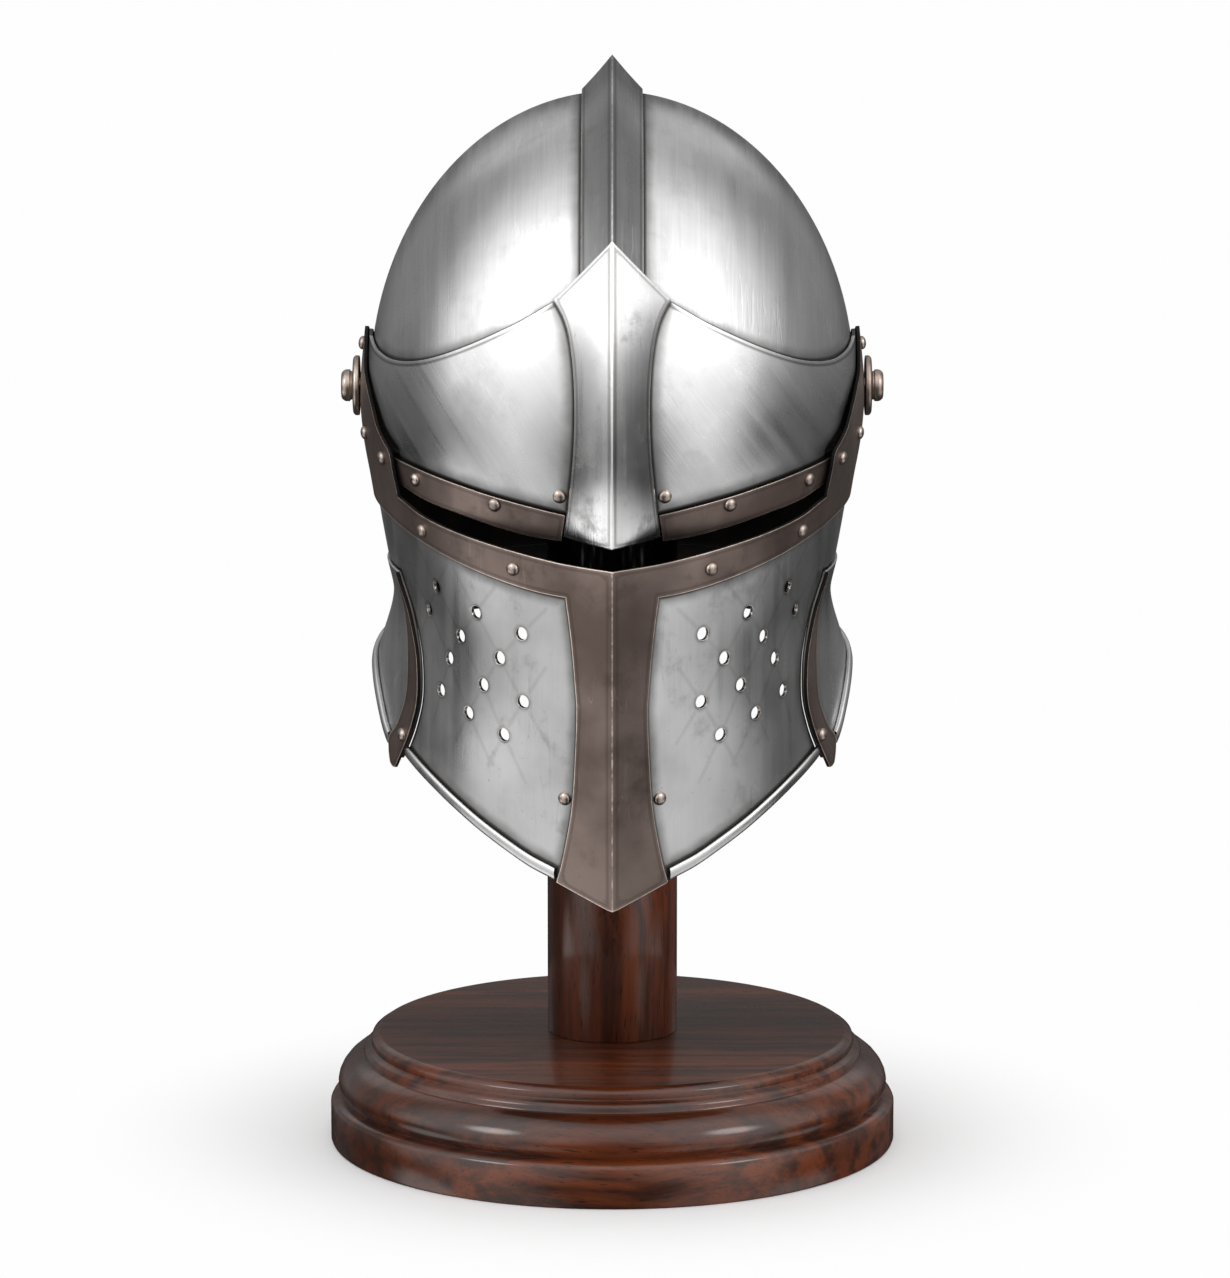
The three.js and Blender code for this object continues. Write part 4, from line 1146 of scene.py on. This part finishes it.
# %% Foot and post
FOOT_PROFILE = [
    (0, 51), (107.6, 51), (109, 50.7), (109.8, 50), (111.5, 49), (111.9, 48), (112, 45.6), (112.6, 45),
    (114, 44.2), (115, 43.4), (115.5, 42.4), (115.6, 41.2), (116, 40.3), (118.4, 39.6), (121, 38.1),
    (123.6, 36), (125.6, 33.4), (126.9, 30.6), (127.4, 28), (127.1, 25.6), (126.2, 23.4), (124.9, 22),
    (124.8, 21.4), (126.6, 21.1), (128.8, 20.5), (130.3, 19.5), (131, 18), (131, 1.2), (130.6, 0.3),
    (129.8, 0), (0, 0),
]
foot = turned_body(FOOT_PROFILE, 160)
keep(foot, "stand_foot")
POST_RADIUS = 30


def crown_inside(radius):
    inner = SKULL_FRONT - SHEET
    return PIVOT_HEIGHT + inner * math.sqrt(1 - (radius / (SKULL_HALF_WIDTH - SHEET)) ** 2) - 0.75


crown = [(POST_RADIUS * share, crown_inside(POST_RADIUS * share)) for share in (0, 0.25, 0.5, 0.75, 0.9, 1)]
post = turned_body([*crown, (POST_RADIUS, 200), (POST_RADIUS, 120), (POST_RADIUS, 51.6), (POST_RADIUS - 0.4, 51.1),
                    (0, 51.1)], 96)
keep(post, "stand_post")
missing = sorted(set(frame["nodes"]) - set(finished))
print("nodes still without a finished piece:", missing)

# %% [markdown]
# ## Materials: small tools first
# Old polished steel is never one grey. It has cloudy areas, fine brush lines, scratches, bright worn edges and
# dark patina where plates meet, painted here together with the shade that falls there; folded ridges get a
# painted highlight. Each effect is a node group, built once, so every metal can use its own share.

# %% Helpers for nodes
def add(tree, kind, inputs=None, **settings):
    made = tree.nodes.new(kind)
    for key, value in settings.items():
        setattr(made, key, value)
    for key, value in (inputs or {}).items():
        if isinstance(value, bpy.types.NodeSocket):
            tree.links.new(value, made.inputs[key])
        else:
            made.inputs[key].default_value = value
    return made


def calc(tree, operation, a, b=0.0, clamp=False):
    made = add(tree, "ShaderNodeMath", {0: a, 1: b}, operation=operation, use_clamp=clamp)
    return made.outputs[0]


def blend(tree, factor, a, b, kind="MIX"):
    made = add(tree, "ShaderNodeMix", {0: factor, 6: a, 7: b}, data_type="RGBA", blend_type=kind)
    return made.outputs[2]


def span(tree, value, low, high, to_low=0.0, to_high=1.0):
    made = add(tree, "ShaderNodeMapRange", {0: value, 1: low, 2: high, 3: to_low, 4: to_high},
               interpolation_type="SMOOTHSTEP")
    return made.outputs[0]


def stretch(tree, vector, scale, turn=(0, 0, 0)):
    made = add(tree, "ShaderNodeMapping", {0: vector, 2: turn, 3: scale})
    return made.outputs[0]


def noise(tree, vector, scale, detail=3.0, rough=0.5):
    made = add(tree, "ShaderNodeTexNoise", {"Vector": vector, "Scale": scale, "Detail": detail, "Roughness": rough})
    return made.outputs[0]


def new_group(name, inputs, outputs):
    tree = bpy.data.node_groups.new(name, "ShaderNodeTree")
    for socket, kind in inputs:
        tree.interface.new_socket(name=socket, in_out="INPUT", socket_type=kind)
    for socket in outputs:
        tree.interface.new_socket(name=socket, in_out="OUTPUT", socket_type="NodeSocketFloat")
    return tree, tree.nodes.new("NodeGroupInput"), tree.nodes.new("NodeGroupOutput")


def place_group(tree, group, inputs):
    made = tree.nodes.new("ShaderNodeGroup")
    made.node_tree = group
    for key, value in inputs.items():
        if isinstance(value, bpy.types.NodeSocket):
            tree.links.new(value, made.inputs[key])
        else:
            made.inputs[key].default_value = value
    return made


FLOAT, VECTOR = "NodeSocketFloat", "NodeSocketVector"

# %% Worn edge: bright where hands and cloths rub a rim, and a painted highlight along folded ridges
worn_edge_and_ridge_highlight, start, end = new_group("worn edge and ridge highlight", [("Vector", VECTOR), ("Distance", FLOAT), ("Reach", FLOAT)], ["Mask"])
uneven = noise(worn_edge_and_ridge_highlight, start.outputs["Vector"], 260, 4, 0.6)
wander = calc(worn_edge_and_ridge_highlight, "MULTIPLY", calc(worn_edge_and_ridge_highlight, "SUBTRACT", uneven, 0.5), 1.2)
reached = calc(worn_edge_and_ridge_highlight, "ADD", calc(worn_edge_and_ridge_highlight, "DIVIDE", start.outputs["Distance"], start.outputs["Reach"]), wander)
worn_edge_and_ridge_highlight.links.new(span(worn_edge_and_ridge_highlight, reached, 0.35, 1.0, 1.0, 0.0), end.inputs["Mask"])

# %% Seam: a painted dark line and soft painted shade, with some patina, where a plate lies on another
seam_shade, start, end = new_group("seam shade", [("Vector", VECTOR), ("Distance", FLOAT), ("Reach", FLOAT)],
                                   ["Line", "Shade"])
patch = noise(seam_shade, start.outputs["Vector"], 90, 3, 0.5)
near = calc(seam_shade, "DIVIDE", calc(seam_shade, "ABSOLUTE", start.outputs["Distance"]), start.outputs["Reach"])
near = calc(seam_shade, "ADD", near, calc(seam_shade, "MULTIPLY", calc(seam_shade, "SUBTRACT", patch, 0.5), 0.5))
seam_shade.links.new(span(seam_shade, near, 0.1, 1.0, 1.0, 0.0), end.inputs["Shade"])
outer = span(seam_shade, start.outputs["Distance"], 0.8, 2.2, 1.0, 0.0)
under = span(seam_shade, start.outputs["Distance"], -3.0, -1.2)
seam_shade.links.new(calc(seam_shade, "MULTIPLY", outer, under), end.inputs["Line"])

# %% Brush lines: fine strokes along one direction
brush_lines, start, end = new_group("brush lines", [("Vector", VECTOR)], ["Lines", "Broad"])
fine = noise(brush_lines, stretch(brush_lines, start.outputs["Vector"], (900, 22, 22)), 1, 3, 0.6)
broad = noise(brush_lines, stretch(brush_lines, start.outputs["Vector"], (190, 7, 7)), 1, 3, 0.55)
brush_lines.links.new(span(brush_lines, fine, 0.3, 0.7), end.inputs["Lines"])
brush_lines.links.new(span(brush_lines, broad, 0.3, 0.7), end.inputs["Broad"])

# %% Scratches: long thin lines, few and uneven
scratches, start, end = new_group("scratches", [("Vector", VECTOR), ("Width", FLOAT)], ["Mask"])
field = noise(scratches, stretch(scratches, start.outputs["Vector"], (260, 16, 16)), 1, 2, 0.4)
line = calc(scratches, "ABSOLUTE", calc(scratches, "SUBTRACT", field, 0.5))
thin = calc(scratches, "SUBTRACT", 1.0, calc(scratches, "DIVIDE", line, start.outputs["Width"]), clamp=True)
patchy = span(scratches, noise(scratches, start.outputs["Vector"], 28, 2), 0.5, 0.62)
scratches.links.new(calc(scratches, "MULTIPLY", thin, patchy), end.inputs["Mask"])

# %% Clouds: broad dark and light areas, and small stains
clouds, start, end = new_group("clouds", [("Vector", VECTOR)], ["Broad", "Stains", "Specks", "Hammered"])
clouds.links.new(span(clouds, noise(clouds, start.outputs["Vector"], 16, 4, 0.55), 0.32, 0.68), end.inputs["Broad"])
clouds.links.new(span(clouds, noise(clouds, start.outputs["Vector"], 55, 6, 0.65), 0.52, 0.72), end.inputs["Stains"])
clouds.links.new(span(clouds, noise(clouds, start.outputs["Vector"], 520, 3, 0.6), 0.66, 0.76), end.inputs["Specks"])
clouds.links.new(noise(clouds, start.outputs["Vector"], 24, 2, 0.4), end.inputs["Hammered"])
print("shared effects:", [group.name for group in bpy.data.node_groups])

# %% [markdown]
# ## Metals
# One recipe serves all the metals: a base that drifts between two tones, bright edges, dark seams, stains and
# scratches. Each metal has its own tones and amounts. The brush direction is a turn of the object coordinates,
# so the strokes run over the crown on the skull and slantwise on the brow plates, as the photograph shows.

# %% The recipe
def metal(name, light, dark, edge_colour, stain_and_shade_colour, roughness, brush_turn=(0, 0, 0), edge_reach=0.9,
          edge_share=0.8, seam_reach=7.0, seam_shade_share=0.8, stain_share=0.25, scratch_share=0.3,
          brush_share=0.08, dent=0.0004, line_depth=0.000008, metallic=1.0, groove_shade_share=0.0):
    material = bpy.data.materials.new(name)
    material.use_nodes = True
    tree = material.node_tree
    shader = tree.nodes["Principled BSDF"]
    place = add(tree, "ShaderNodeTexCoord").outputs["Object"]
    edge = add(tree, "ShaderNodeAttribute", attribute_name="edge").outputs["Fac"]
    seam = add(tree, "ShaderNodeAttribute", attribute_name="seam").outputs["Fac"]
    strokes = stretch(tree, place, (1, 1, 1), brush_turn)
    cloud = place_group(tree, clouds, {"Vector": place}).outputs
    brushed = place_group(tree, brush_lines, {"Vector": strokes}).outputs
    scratch = place_group(tree, scratches, {"Vector": strokes, "Width": 0.012}).outputs["Mask"]
    wear_and_ridge_highlight = place_group(tree, worn_edge_and_ridge_highlight, {"Vector": place, "Distance": edge, "Reach": edge_reach}).outputs["Mask"]
    shaded = place_group(tree, seam_shade, {"Vector": place, "Distance": seam, "Reach": seam_reach}).outputs
    patina_and_painted_shade = calc(tree, "MULTIPLY", shaded["Shade"], 0.75)

    colour = blend(tree, cloud["Broad"], light, dark)
    stroke_tone = calc(tree, "MULTIPLY", brushed["Lines"], brush_share)
    colour = blend(tree, stroke_tone, colour, (0.9, 0.9, 0.9, 1))
    stain = calc(tree, "MULTIPLY", cloud["Stains"], stain_share)
    colour = blend(tree, stain, colour, stain_and_shade_colour)
    colour = blend(tree, calc(tree, "MULTIPLY", cloud["Specks"], stain_share), colour, stain_and_shade_colour)
    colour = blend(tree, calc(tree, "MULTIPLY", scratch, scratch_share), colour, edge_colour)
    # Painted shade, with some patina, spreading from where another plate lies on this one
    colour = blend(tree, calc(tree, "MULTIPLY", patina_and_painted_shade, seam_shade_share), colour, stain_and_shade_colour)
    # Painted shade: a dark line 1 to 3 mm inside the plate's own edge stands for a groove there, with some patina
    if groove_shade_share:
        groove_shade = calc(tree, "MULTIPLY", span(tree, edge, 0.8, 1.5), span(tree, edge, 1.7, 2.8, 1.0, 0.0))
        colour = blend(tree, calc(tree, "MULTIPLY", groove_shade, groove_shade_share), colour, stain_and_shade_colour)
    # Bright worn edges; along folded ridges this is a painted highlight
    colour = blend(tree, calc(tree, "MULTIPLY", wear_and_ridge_highlight, edge_share), colour, edge_colour)
    # Painted shade: a dark line just beside the edge of a plate lying on top
    colour = blend(tree, calc(tree, "MULTIPLY", shaded["Line"], 0.9), colour, stain_and_shade_colour)
    tree.links.new(colour, shader.inputs["Base Color"])
    shader.inputs["Metallic"].default_value = metallic

    low, high = roughness
    gloss = span(tree, cloud["Broad"], 0, 1, low, high)
    gloss = calc(tree, "ADD", gloss, calc(tree, "MULTIPLY", brushed["Broad"], 0.08))
    gloss = calc(tree, "ADD", gloss, calc(tree, "MULTIPLY", stain, 0.25))
    gloss = calc(tree, "ADD", gloss, calc(tree, "MULTIPLY", patina_and_painted_shade, 0.2 * seam_shade_share), clamp=True)
    tree.links.new(gloss, shader.inputs["Roughness"])

    dents = add(tree, "ShaderNodeBump", {"Strength": 1.0, "Distance": dent, "Height": cloud["Hammered"]})
    lines = calc(tree, "SUBTRACT", brushed["Lines"], calc(tree, "MULTIPLY", scratch, 2.0))
    strokes_bump = add(tree, "ShaderNodeBump",
                       {"Strength": 1.0, "Distance": line_depth, "Height": lines, "Normal": dents.outputs[0]})
    tree.links.new(strokes_bump.outputs[0], shader.inputs["Normal"])
    return material


def tone(value, warm=0.0):
    return (value * (1 + warm), value, value * (1 - warm), 1)


skull_steel = metal("polished skull steel", tone(0.66), tone(0.52), tone(0.85), tone(0.03, 0.1), (0.2, 0.28),
                    seam_reach=7, brush_share=0.16, line_depth=0.000014, stain_share=0.12)
comb_steel = metal("comb steel", tone(0.52), tone(0.32), tone(0.95), tone(0.05, 0.08), (0.2, 0.32), seam_reach=5,
                   edge_reach=0.6, groove_shade_share=0.5)
brow_steel = metal("brow plate steel", tone(0.68), tone(0.54), tone(0.85), tone(0.03, 0.12), (0.2, 0.28),
                   brush_turn=(0, math.radians(35), 0), seam_reach=8, brush_share=0.06, groove_shade_share=0.6,
                   edge_reach=0.4, stain_share=0.12)
# Painted light: the nasal plate's steel is paler than the other plates', standing in for the light its faces catch
nasal_steel_painted_bright = metal("nasal plate steel painted bright", tone(0.85), tone(0.6), tone(0.98), tone(0.1, 0.12), (0.16, 0.28),
                    stain_share=0.45, scratch_share=0.4, groove_shade_share=0.5, brush_share=0.04, edge_reach=0.6)
# On the cheeks the edge colour is near black: the scratches are dark, and along the plate's edges and hole rims the
# worn-edge mask paints shade
cheek_steel = metal("cheek steel", tone(0.64), tone(0.48), tone(0.05, 0.1), tone(0.035, 0.12), (0.26, 0.36),
                    brush_share=0.05, seam_reach=7, edge_share=0.9, scratch_share=0.15, stain_share=0.3)
guard_steel = metal("neck guard steel", tone(0.6), tone(0.46), tone(0.82), tone(0.06, 0.12), (0.24, 0.34))
rim_steel = metal("rim steel", tone(0.66), tone(0.5), tone(0.8), tone(0.1, 0.1), (0.2, 0.32), stain_share=0.15)
band_iron = metal("browned iron", (0.27, 0.208, 0.183, 1), (0.12, 0.088, 0.077, 1), (0.8, 0.67, 0.59, 1),
                  (0.04, 0.028, 0.025, 1), (0.3, 0.42), edge_reach=0.5, edge_share=0.9, stain_share=0.35,
                  brush_share=0.0, scratch_share=0.12, line_depth=0.000001, metallic=0.9, groove_shade_share=0.35)
rivet_steel = metal("rivet steel", (0.46, 0.38, 0.33, 1), (0.32, 0.26, 0.23, 1), (0.8, 0.7, 0.62, 1),
                    (0.08, 0.06, 0.055, 1), (0.22, 0.32), dent=0.0001)
bolt_steel = metal("bolt steel", (0.48, 0.39, 0.33, 1), (0.32, 0.25, 0.21, 1), (0.8, 0.7, 0.62, 1),
                   (0.08, 0.06, 0.055, 1), (0.2, 0.3), dent=0.0001)

# %% Painted shade: the right half of the keel is darkened, as the light falls less on that side
tree = band_iron.node_tree
shader = tree.nodes["Principled BSDF"]
place = add(tree, "ShaderNodeTexCoord").outputs["Object"]
across = add(tree, "ShaderNodeSeparateXYZ", {0: place}).outputs[0]
height = add(tree, "ShaderNodeSeparateXYZ", {0: place}).outputs[2]
keel_right_shade = calc(tree, "MULTIPLY", span(tree, across, 0.0, 0.0012), span(tree, across, 0.02, 0.045, 1.0, 0.0))
keel_right_shade = calc(tree, "MULTIPLY", keel_right_shade, span(tree, height, 0.16, 0.2, 0.3, 0.5))
plain = shader.inputs["Base Color"].links[0].from_socket
tree.links.new(blend(tree, keel_right_shade, plain, (0.03, 0.022, 0.02, 1)), shader.inputs["Base Color"])

# %% Scribed lines, a painted shade round the holes of the cheeks and a painted highlight on their rims
tree = cheek_steel.node_tree
shader = tree.nodes["Principled BSDF"]
scribe = add(tree, "ShaderNodeAttribute", attribute_name="scribed").outputs["Fac"]
hole = add(tree, "ShaderNodeAttribute", attribute_name="hole").outputs["Fac"]
plain = shader.inputs["Base Color"].links[0].from_socket
faint = calc(tree, "MULTIPLY", span(tree, scribe, 0.3, 1.6, 1.0, 0.0), 0.16)
# Painted shade: a soft dark ring round each hole
ring = calc(tree, "MULTIPLY", span(tree, hole, 3.2, 5.5, 1.0, 0.0), 0.35)
scribed_and_shaded = blend(tree, calc(tree, "MAXIMUM", faint, ring), plain, (0.12, 0.11, 0.1, 1))
# Painted highlight: a thin bright line on each hole's rim
hole_rim_highlight = calc(tree, "MULTIPLY", span(tree, hole, 3.15, 3.6, 1.0, 0.0), 0.7)
tree.links.new(blend(tree, hole_rim_highlight, scribed_and_shaded, (0.85, 0.8, 0.76, 1)), shader.inputs["Base Color"])

# %% The black inside, a painted shade
# Painted shade: near black, so the eye slit reads as shadow; a rusty tone wanders over it
inside = bpy.data.materials.new("black inside as painted shade")
inside.use_nodes = True
tree = inside.node_tree
shader = tree.nodes["Principled BSDF"]
place = add(tree, "ShaderNodeTexCoord").outputs["Object"]
rust = span(tree, noise(tree, place, 60, 5, 0.6), 0.4, 0.7)
tree.links.new(blend(tree, rust, (0.006, 0.006, 0.006, 1), (0.022, 0.014, 0.01, 1)), shader.inputs["Base Color"])
tree.links.new(span(tree, rust, 0, 1, 0.6, 0.8), shader.inputs["Roughness"])
shader.inputs["Metallic"].default_value = 0.0
shader.inputs["Specular IOR Level"].default_value = 0.1
print("metals:", len(bpy.data.materials))

# %% [markdown]
# ## Varnished wood
# The stand is a dark reddish hardwood under gloss varnish. Its grain runs along the post and straight across the
# foot, because the foot is cut from a plank, so both use stretched noise in object coordinates. The pores are
# short dark strokes. A clear coat gives the sharp shine over a softer wood. The top of the post, inside the
# helmet, is painted near black as painted shade, so that nothing pale shows through the eye slit.

# %% The recipe for wood
def wood(name, along):
    material = bpy.data.materials.new(name)
    material.use_nodes = True
    tree = material.node_tree
    shader = tree.nodes["Principled BSDF"]
    place = add(tree, "ShaderNodeTexCoord").outputs["Object"]
    wavy = noise(tree, place, 14, 2, 0.5)
    drift = add(tree, "ShaderNodeVectorMath", {0: place, 1: wavy}, operation="ADD")
    near = blend(tree, 0.012, place, drift.outputs[0])
    grain = noise(tree, stretch(tree, near, tuple(9 if axis == along else 120 for axis in range(3))), 1, 5, 0.6)
    figure = noise(tree, stretch(tree, near, tuple(2.4 if axis == along else 30 for axis in range(3))), 1, 3, 0.5)
    pores = noise(tree, stretch(tree, near, tuple(90 if axis == along else 1300 for axis in range(3))), 1, 2, 0.5)
    colour = blend(tree, span(tree, figure, 0.3, 0.7), (0.035, 0.0068, 0.002, 1), (0.15, 0.033, 0.0075, 1))
    colour = blend(tree, span(tree, grain, 0.36, 0.66, 0.0, 0.85), colour, (0.012, 0.0035, 0.002, 1))
    pore = span(tree, pores, 0.6, 0.7)
    colour = blend(tree, calc(tree, "MULTIPLY", pore, 0.8), colour, (0.005, 0.002, 0.0015, 1))
    height = add(tree, "ShaderNodeSeparateXYZ", {0: place}).outputs[2]
    # Painted shade: the wood turns near black above 15 to 26 cm, where the post stands inside the helmet
    colour = blend(tree, span(tree, height, 0.15, 0.26), colour, (0.002, 0.001, 0.001, 1))
    tree.links.new(colour, shader.inputs["Base Color"])
    tree.links.new(span(tree, grain, 0.3, 0.7, 0.3, 0.42), shader.inputs["Roughness"])
    shader.inputs["Specular IOR Level"].default_value = 0.1
    shader.inputs["Coat Weight"].default_value = 0.9
    shader.inputs["Coat Roughness"].default_value = 0.14
    bump = add(tree, "ShaderNodeBump", {"Strength": 1.0, "Distance": 0.00004,
                                        "Height": calc(tree, "SUBTRACT", grain, pore)})
    tree.links.new(bump.outputs[0], shader.inputs["Normal"])
    return material


foot_wood = wood("varnished wood foot", 0)
post_wood = wood("varnished wood post", 2)

# %% [markdown]
# ## Which piece gets which finish
# A plate has two material places: its outside and, on the inner skin, a near-black inside, a painted shade that
# keeps the eye slit dark; the side walls of the frame, the bands and the border take it too.

# %% Give every piece its finish
FINISHES = {
    "skull": (skull_steel, "steel"), "comb": (comb_steel, "steel"), "brow_plate": (brow_steel, "steel"),
    "nasal_plate": (nasal_steel_painted_bright, "steel"), "cheek_plate": (cheek_steel, "steel"),
    "neck_guard": (guard_steel, "steel"), "neck_rim": (rim_steel, "steel"), "chin_rim": (rim_steel, "steel"),
    "face_frame": (band_iron, "band"), "brow_band": (band_iron, "band"), "guard_border": (band_iron, "band"),
    "pivot_disc": (bolt_steel, "fastener"), "pivot_bolt": (bolt_steel, "fastener"),
    "stand_foot": (foot_wood, "wood"), "stand_post": (post_wood, "wood"),
}
for node, piece in finished.items():
    kind = node.replace("_left", "").replace("_right", "")
    material, slot = FINISHES.get(kind, (rivet_steel, "fastener"))
    piece.data.materials[0] = material
    if len(piece.data.materials) > 1:
        piece.data.materials[1] = inside
print("finished pieces:", len(finished))

# %% [markdown]
# ## Floor, light and camera
# The helmet stands on a white studio table against white. Bare steel shows what is round it, so the light is
# large and soft: a pale room for the background, a darker one with soft glows for what the steel mirrors, whose
# glows left and right make the bright panels beside the comb, and two tall soft boxes in front, left and right,
# that light the wood and the floor but do not show in the steel.

# %% Floor and room
deselect()
bpy.ops.mesh.primitive_grid_add(x_subdivisions=4, y_subdivisions=4, size=40)
floor = bpy.context.object
floor.name = "studio_floor"
paper = bpy.data.materials.new("white paper")
paper.use_nodes = True
tree = paper.node_tree
shader = tree.nodes["Principled BSDF"]
place = add(tree, "ShaderNodeTexCoord").outputs["Object"]
tint = span(tree, noise(tree, place, 3, 2), 0.3, 0.7, 0.0, 1.0)
tree.links.new(blend(tree, tint, (0.9, 0.9, 0.9, 1), (0.885, 0.885, 0.885, 1)), shader.inputs["Base Color"])
shader.inputs["Roughness"].default_value = 0.9
shader.inputs["Specular IOR Level"].default_value = 0.1
far = add(tree, "ShaderNodeVectorMath", {0: place}, operation="LENGTH").outputs["Value"]
bright = add(tree, "ShaderNodeEmission", {"Color": (1, 1, 1, 1), "Strength": 0.99})
paper_near = add(tree, "ShaderNodeMixShader", {0: span(tree, far, 0.145, 0.26), 1: shader.outputs[0], 2: bright.outputs[0]})
tree.links.new(paper_near.outputs[0], tree.nodes["Material Output"].inputs["Surface"])
floor.data.materials.append(paper)
floor.visible_glossy = False

world = bpy.context.scene.world or bpy.data.worlds.new("room")
bpy.context.scene.world = world
world.use_nodes = True
tree = world.node_tree
tree.nodes.clear()
path = add(tree, "ShaderNodeLightPath").outputs
aim = add(tree, "ShaderNodeTexCoord").outputs["Generated"]
way = add(tree, "ShaderNodeSeparateXYZ", {0: aim}).outputs


def glow_from(azimuth, elevation, inner, outer, strength):
    """A soft round glow in the room, in degrees from its middle"""
    turn, rise = math.radians(azimuth), math.radians(elevation)
    middle = (math.sin(turn) * math.cos(rise), -math.cos(turn) * math.cos(rise), math.sin(rise))
    near = add(tree, "ShaderNodeVectorMath", {0: aim, 1: middle}, operation="DOT_PRODUCT").outputs["Value"]
    return span(tree, near, math.cos(math.radians(outer)), math.cos(math.radians(inner)), 0.0, strength)


# azimuth, elevation, inner, outer, strength on the left, strength on the right
GLOWS = [
    (53, 31, 18, 58, 1.3, 1.3), (55, 30, 4, 13, 7, 6), (52, -34, 8, 33, 0.72, 0.72),
    (157, 33, 5, 20, 0.35, 0.35), (92, 10, 5, 18, 0.45, 0.0), (90, -31, 6, 18, 1.3, 0.8),
]
room = calc(tree, "ADD", span(tree, way[2], -0.25, 0.05, 0.06, 0.28), span(tree, way[2], 0.6, 0.95, 0.0, 0.45))
for azimuth, elevation, inner, outer, left, right in GLOWS:
    room = calc(tree, "ADD", room, glow_from(-azimuth, elevation, inner, outer, left))
    room = calc(tree, "ADD", room, glow_from(azimuth, elevation, inner, outer, right))
for azimuth, elevation, inner, outer, share in ((180, -2, 12, 34, 0.65), (88, -8, 5, 21, 0.55), (-112, -10, 8, 24, 0.35)):
    room = calc(tree, "MULTIPLY", room, calc(tree, "SUBTRACT", 1.0, glow_from(azimuth, elevation, inner, outer, share)))
daylight = span(tree, way[2], -0.3, 0.8, 0.55, 1.12)
unseen = blend(tree, path["Is Glossy Ray"], daylight, room)
seen_room = blend(tree, path["Is Camera Ray"], unseen, (1, 1, 1, 1))
glow = add(tree, "ShaderNodeBackground", {"Color": seen_room, "Strength": 1.0})
tree.links.new(glow.outputs[0], add(tree, "ShaderNodeOutputWorld").inputs[0])


# %% Soft boxes
def soft_box(name, azimuth, elevation, distance, size, power):
    turn, rise = math.radians(azimuth), math.radians(elevation)
    away = Vector((math.sin(turn) * math.cos(rise), -math.cos(turn) * math.cos(rise), math.sin(rise)))
    aim = Vector((0, 0, 0.3))
    lamp = bpy.data.lights.new(name, "AREA")
    lamp.shape = "RECTANGLE"
    lamp.size, lamp.size_y = size
    lamp.energy = power
    box = bpy.data.objects.new(name, lamp)
    bpy.context.scene.collection.objects.link(box)
    box.location = aim + away * distance
    box.rotation_euler = (-away).to_track_quat("-Z", "Y").to_euler()
    return box


for name, azimuth in (("left_box", -60), ("right_box", 60)):
    soft_box(name, azimuth, 44, 2.6, (1.2, 0.8), 7).visible_glossy = False

# %% Camera
deselect()
view = bpy.data.cameras.new("camera")
camera = bpy.data.objects.new("camera", view)
bpy.context.scene.collection.objects.link(camera)
camera.location = (0.00124, -2.9488, 0.7870)
aim = Vector((0.00124, 0, 0.2351))
camera.rotation_euler = (aim - camera.location).to_track_quat("-Z", "Y").to_euler()
view.sensor_fit = "VERTICAL"
view.sensor_height = 36
view.lens = 183.7
bpy.context.scene.camera = camera
bpy.context.scene.view_settings.view_transform = "Standard"
print("camera looks down by", round(math.degrees(math.atan2(0.5519, 2.9488)), 1), "degrees")
